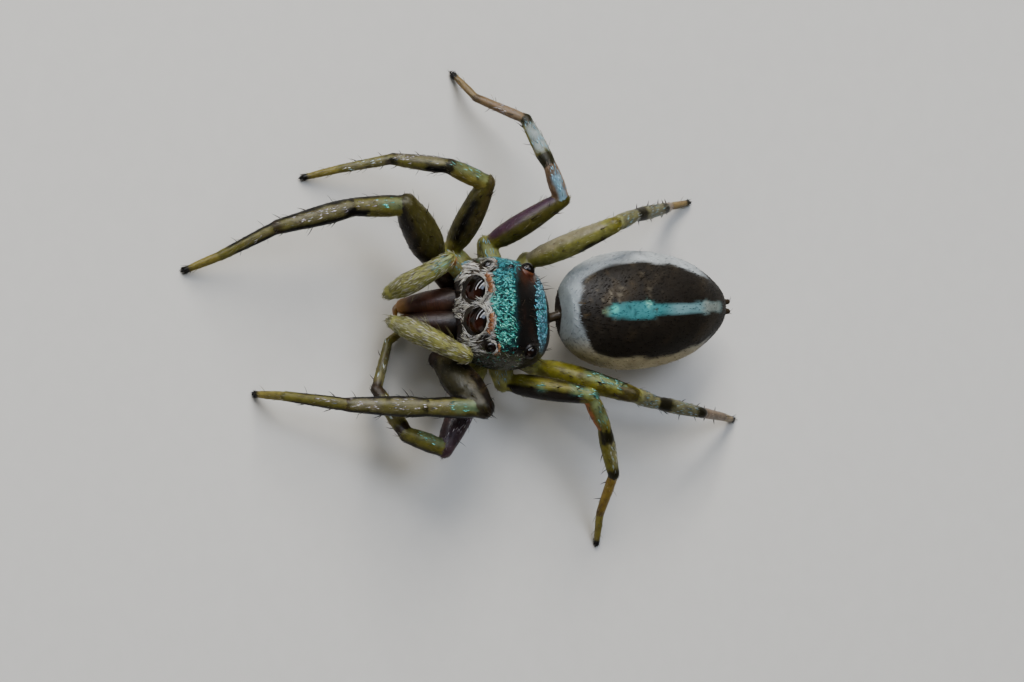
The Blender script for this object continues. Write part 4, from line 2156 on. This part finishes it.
    def foot(self, coat: Coat, part: Part) -> None:
        """Black tip hairs and two claws at the end of one leg."""
        radius = part.limb.radii[-1]
        hairs = [
            (self.rng.uniform(0.84, 1.03), self.rng.uniform(-180, 180), 0.85 * radius)
            for _ in range(self.tip_hairs)
        ]
        claws = [(1.05, angle, 0.4 * radius) for angle in (-50, 50)]
        for tuft, spots in ((TIP_HAIR, hairs), (CLAW, claws)):
            tone = Paint(len(spots), Tone.SOOT).colour
            coat.grow(tuft, self.place_on(part, spots), part, part.limb.along(len(spots)), tone)

    def palps(self) -> None:
        """Silky pale hairs of the palps, longest on their inner edge."""
        coat = self.coat("coat_palps", PALE_HAIR)
        for part, mine in self.groups(self.sow({Kind.PALP_FEMUR, Kind.PALP_TIP}, self.palp_density)):
            angle = part.limb.locate(mine.place)[1]
            away = np.abs(angle - PALP_MIDDLES[(part.kind, part.owner)])
            mine = self.thin(mine, 0.25 + 0.75 * ease(away, 85, 58))
            t, angle = part.limb.locate(mine.place)
            along = part.limb.along(len(mine))
            paint = Paint(len(mine), Tone.STRAW).lay(0.75 * self.draw(mine) ** 1.6, Tone.SILVER)
            paint.lay(0.85 * (self.draw(mine) < 0.38), Tone.BARK)
            if part.kind is Kind.PALP_TIP:
                paint.lay(0.5 * ease(t, 0.66, 0.90), Tone.STRAW)
            if part.owner == "R":
                spot = within(t, -0.05, 0.18, 0.05) * ease(np.abs(angle - 20), 50, 25)
                if part.kind is Kind.PALP_FEMUR:
                    spot = within(t, 0.35, 0.90, 0.08) * ease(np.abs(angle + 30), 60, 35)
                paint.lay(0.85 * spot * (self.draw(mine) < 0.40), Tone.LAGOON)
            scale = 1.0 if part.kind is Kind.PALP_TIP else 0.6
            coat.grow(PALP_HAIR, mine, part, along, paint.colour, scale)
            if part.kind is Kind.PALP_TIP:
                inner = 90 * SIDES[part.owner]
                share = 0.22 if part.owner == "L" else 0.05
                edge = (np.abs(angle - inner) < 45) & (self.draw(mine) < share)
                tone = Paint(int(edge.sum()), Tone.SAND).colour
                coat.grow(FRINGE, mine.only(edge), part, along[edge], tone)
        coat.build()

    def work(self) -> None:
        """Grows the whole coat."""
        self.head_scales()
        self.head_hairs()
        self.abdomen()
        self.legs()
        self.palps()


@dataclass(frozen=True)
class Jaws:
    """The two chelicerae and their fangs, in the head's frame.

    The fold is how far a fang's tip goes ahead, inwards and back from its root.
    """

    root: tuple = (2.22, 0.240, -0.15)
    tip: tuple = (2.97, 0.158, -1.00)
    radii: tuple = (0.21, 0.252, 0.250, 0.236, 0.202, 0.156)
    bow: float = 0.04
    left_shade: float = 0.42
    wrinkle: float = 0.0035
    wrinkle_step: float = 0.05
    fang_radii: tuple = (0.085, 0.074, 0.052, 0.022)
    fang_reach: float = 0.13
    fang_fold: tuple = (0.11, 0.24, 0.04)
    fang_rings: int = 16

    def limb(self, side: int) -> Limb:
        """Shape of one chelicera."""
        start, end = HEAD.sided(self.root, side), HEAD.sided(self.tip, side)
        return Limb(start, end, self.radii, self.bow, sides=48, steps=64)

    def chelicera(self, letter: str) -> None:
        """A chelicera with cross wrinkles, paler and clearer at its end."""
        limb = self.limb(SIDES[letter])
        bm = limb.build()
        bm.normal_update()
        points = np.array([v.co for v in bm.verts])
        t = limb.locate(points)[0]
        length = (limb.end - limb.start).length
        wave = np.sin(2 * math.pi * t * length / self.wrinkle_step + 1.6 * ripple(points, 0.3, 51))
        wave = wave * ease(ripple(points, 0.25, 53), -1.0, 0.8)
        swell = self.wrinkle * wave * ease(t, 0.85, 0.55) * ease(t, 0.02, 0.12)
        for vert, amount in zip(bm.verts, swell):
            vert.co += float(amount) * vert.normal
        piece = finish_mesh(f"jaw_{letter}", bm)
        paint = Paint(len(points), Tone.UMBER)
        patches = ease(ripple(points, 0.28, 52), -0.4, 1.0) * within(t, 0.3, 0.9, 0.15)
        paint.lay(0.30 + 0.3 * patches, Tone.CHESTNUT)
        paint.lay(0.25 * ease(ripple(points, 0.16, 54), 0.0, 1.2) * ease(t, 0.3, 0.6), Tone.BARK)
        paint.lay(0.22 * ease(t, 0.20, 0.55), Tone.GARNET)
        paint.lay(0.85 * ease(t, 0.30, 0.05), Tone.PITCH)
        paint.lay(0.30 * ease(t, 0.86, 1.06), Tone.AMBER)
        paint.lay(0.45 * ease(wave, 0.3, -1.0) * ease(t, 0.9, 0.6), Tone.PITCH)
        set_tone(piece.data, 1.75 * paint.colour * (self.left_shade if letter == "L" else 1.0))
        piece.data.materials.append(JAW_CHITIN.material())
        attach(piece, "root")
        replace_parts(piece, f"chelicera_{letter}")

    def fang(self, letter: str) -> None:
        """A curved fang folded in under its chelicera."""
        side = SIDES[letter]
        limb = self.limb(side)
        direction = (limb.end - limb.start).normalized()
        start = limb.end + 0.5 * self.radii[-1] * direction
        ahead, inwards, back = self.fang_fold
        middle = start + self.fang_reach * direction
        end = start + ahead * direction + HEAD.matrix @ Vector((-back, -side * inwards, 0.0))
        rows = smooth_rows([(radius,) for radius in self.fang_radii], self.fang_rings)
        stations = []
        for i, (radius,) in enumerate(rows):
            t = i / (self.fang_rings - 1)
            centre = (1 - t) ** 2 * start + 2 * t * (1 - t) * middle + t * t * end
            heading = ((1 - t) * (middle - start) + t * (end - middle)).normalized()
            stations.append(Station(centre, heading, radius, radius))
        piece = finish_mesh(f"fang_horn_{letter}", sweep(stations, 20))
        paint = Paint(len(piece.data.vertices), Tone.AMBER)
        reach = np.linalg.norm(vertex_places(piece.data) - np.array(start), axis=1)
        paint.lay(0.5 * ease(reach, 0.06, 0.24), Tone.RUST)
        set_tone(piece.data, 0.55 * paint.colour)
        piece.data.materials.append(FANG_CHITIN.material())
        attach(piece, "root")
        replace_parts(piece, f"fang_{letter}")

    def build(self) -> None:
        """Both chelicerae and fangs."""
        for letter in SIDES:
            self.chelicera(letter)
            self.fang(letter)


def main() -> None:
    """Builds the studio, then the spider from its skin outwards."""
    logging.basicConfig(level=logging.INFO, format="%(message)s")
    studio = Studio()
    studio.build_camera()
    studio.build_set()
    skin = Skin()
    log.info("skin: %d triangles", len(skin.build().data.polygons))
    for eye in EYES:
        eye.build()
    Jaws().build()
    Furrier(skin).work()
    {"cad": [list(c) for c in CAD_BOX], "visual": [list(c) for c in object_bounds()]}


if __name__ == "__main__":
    main()
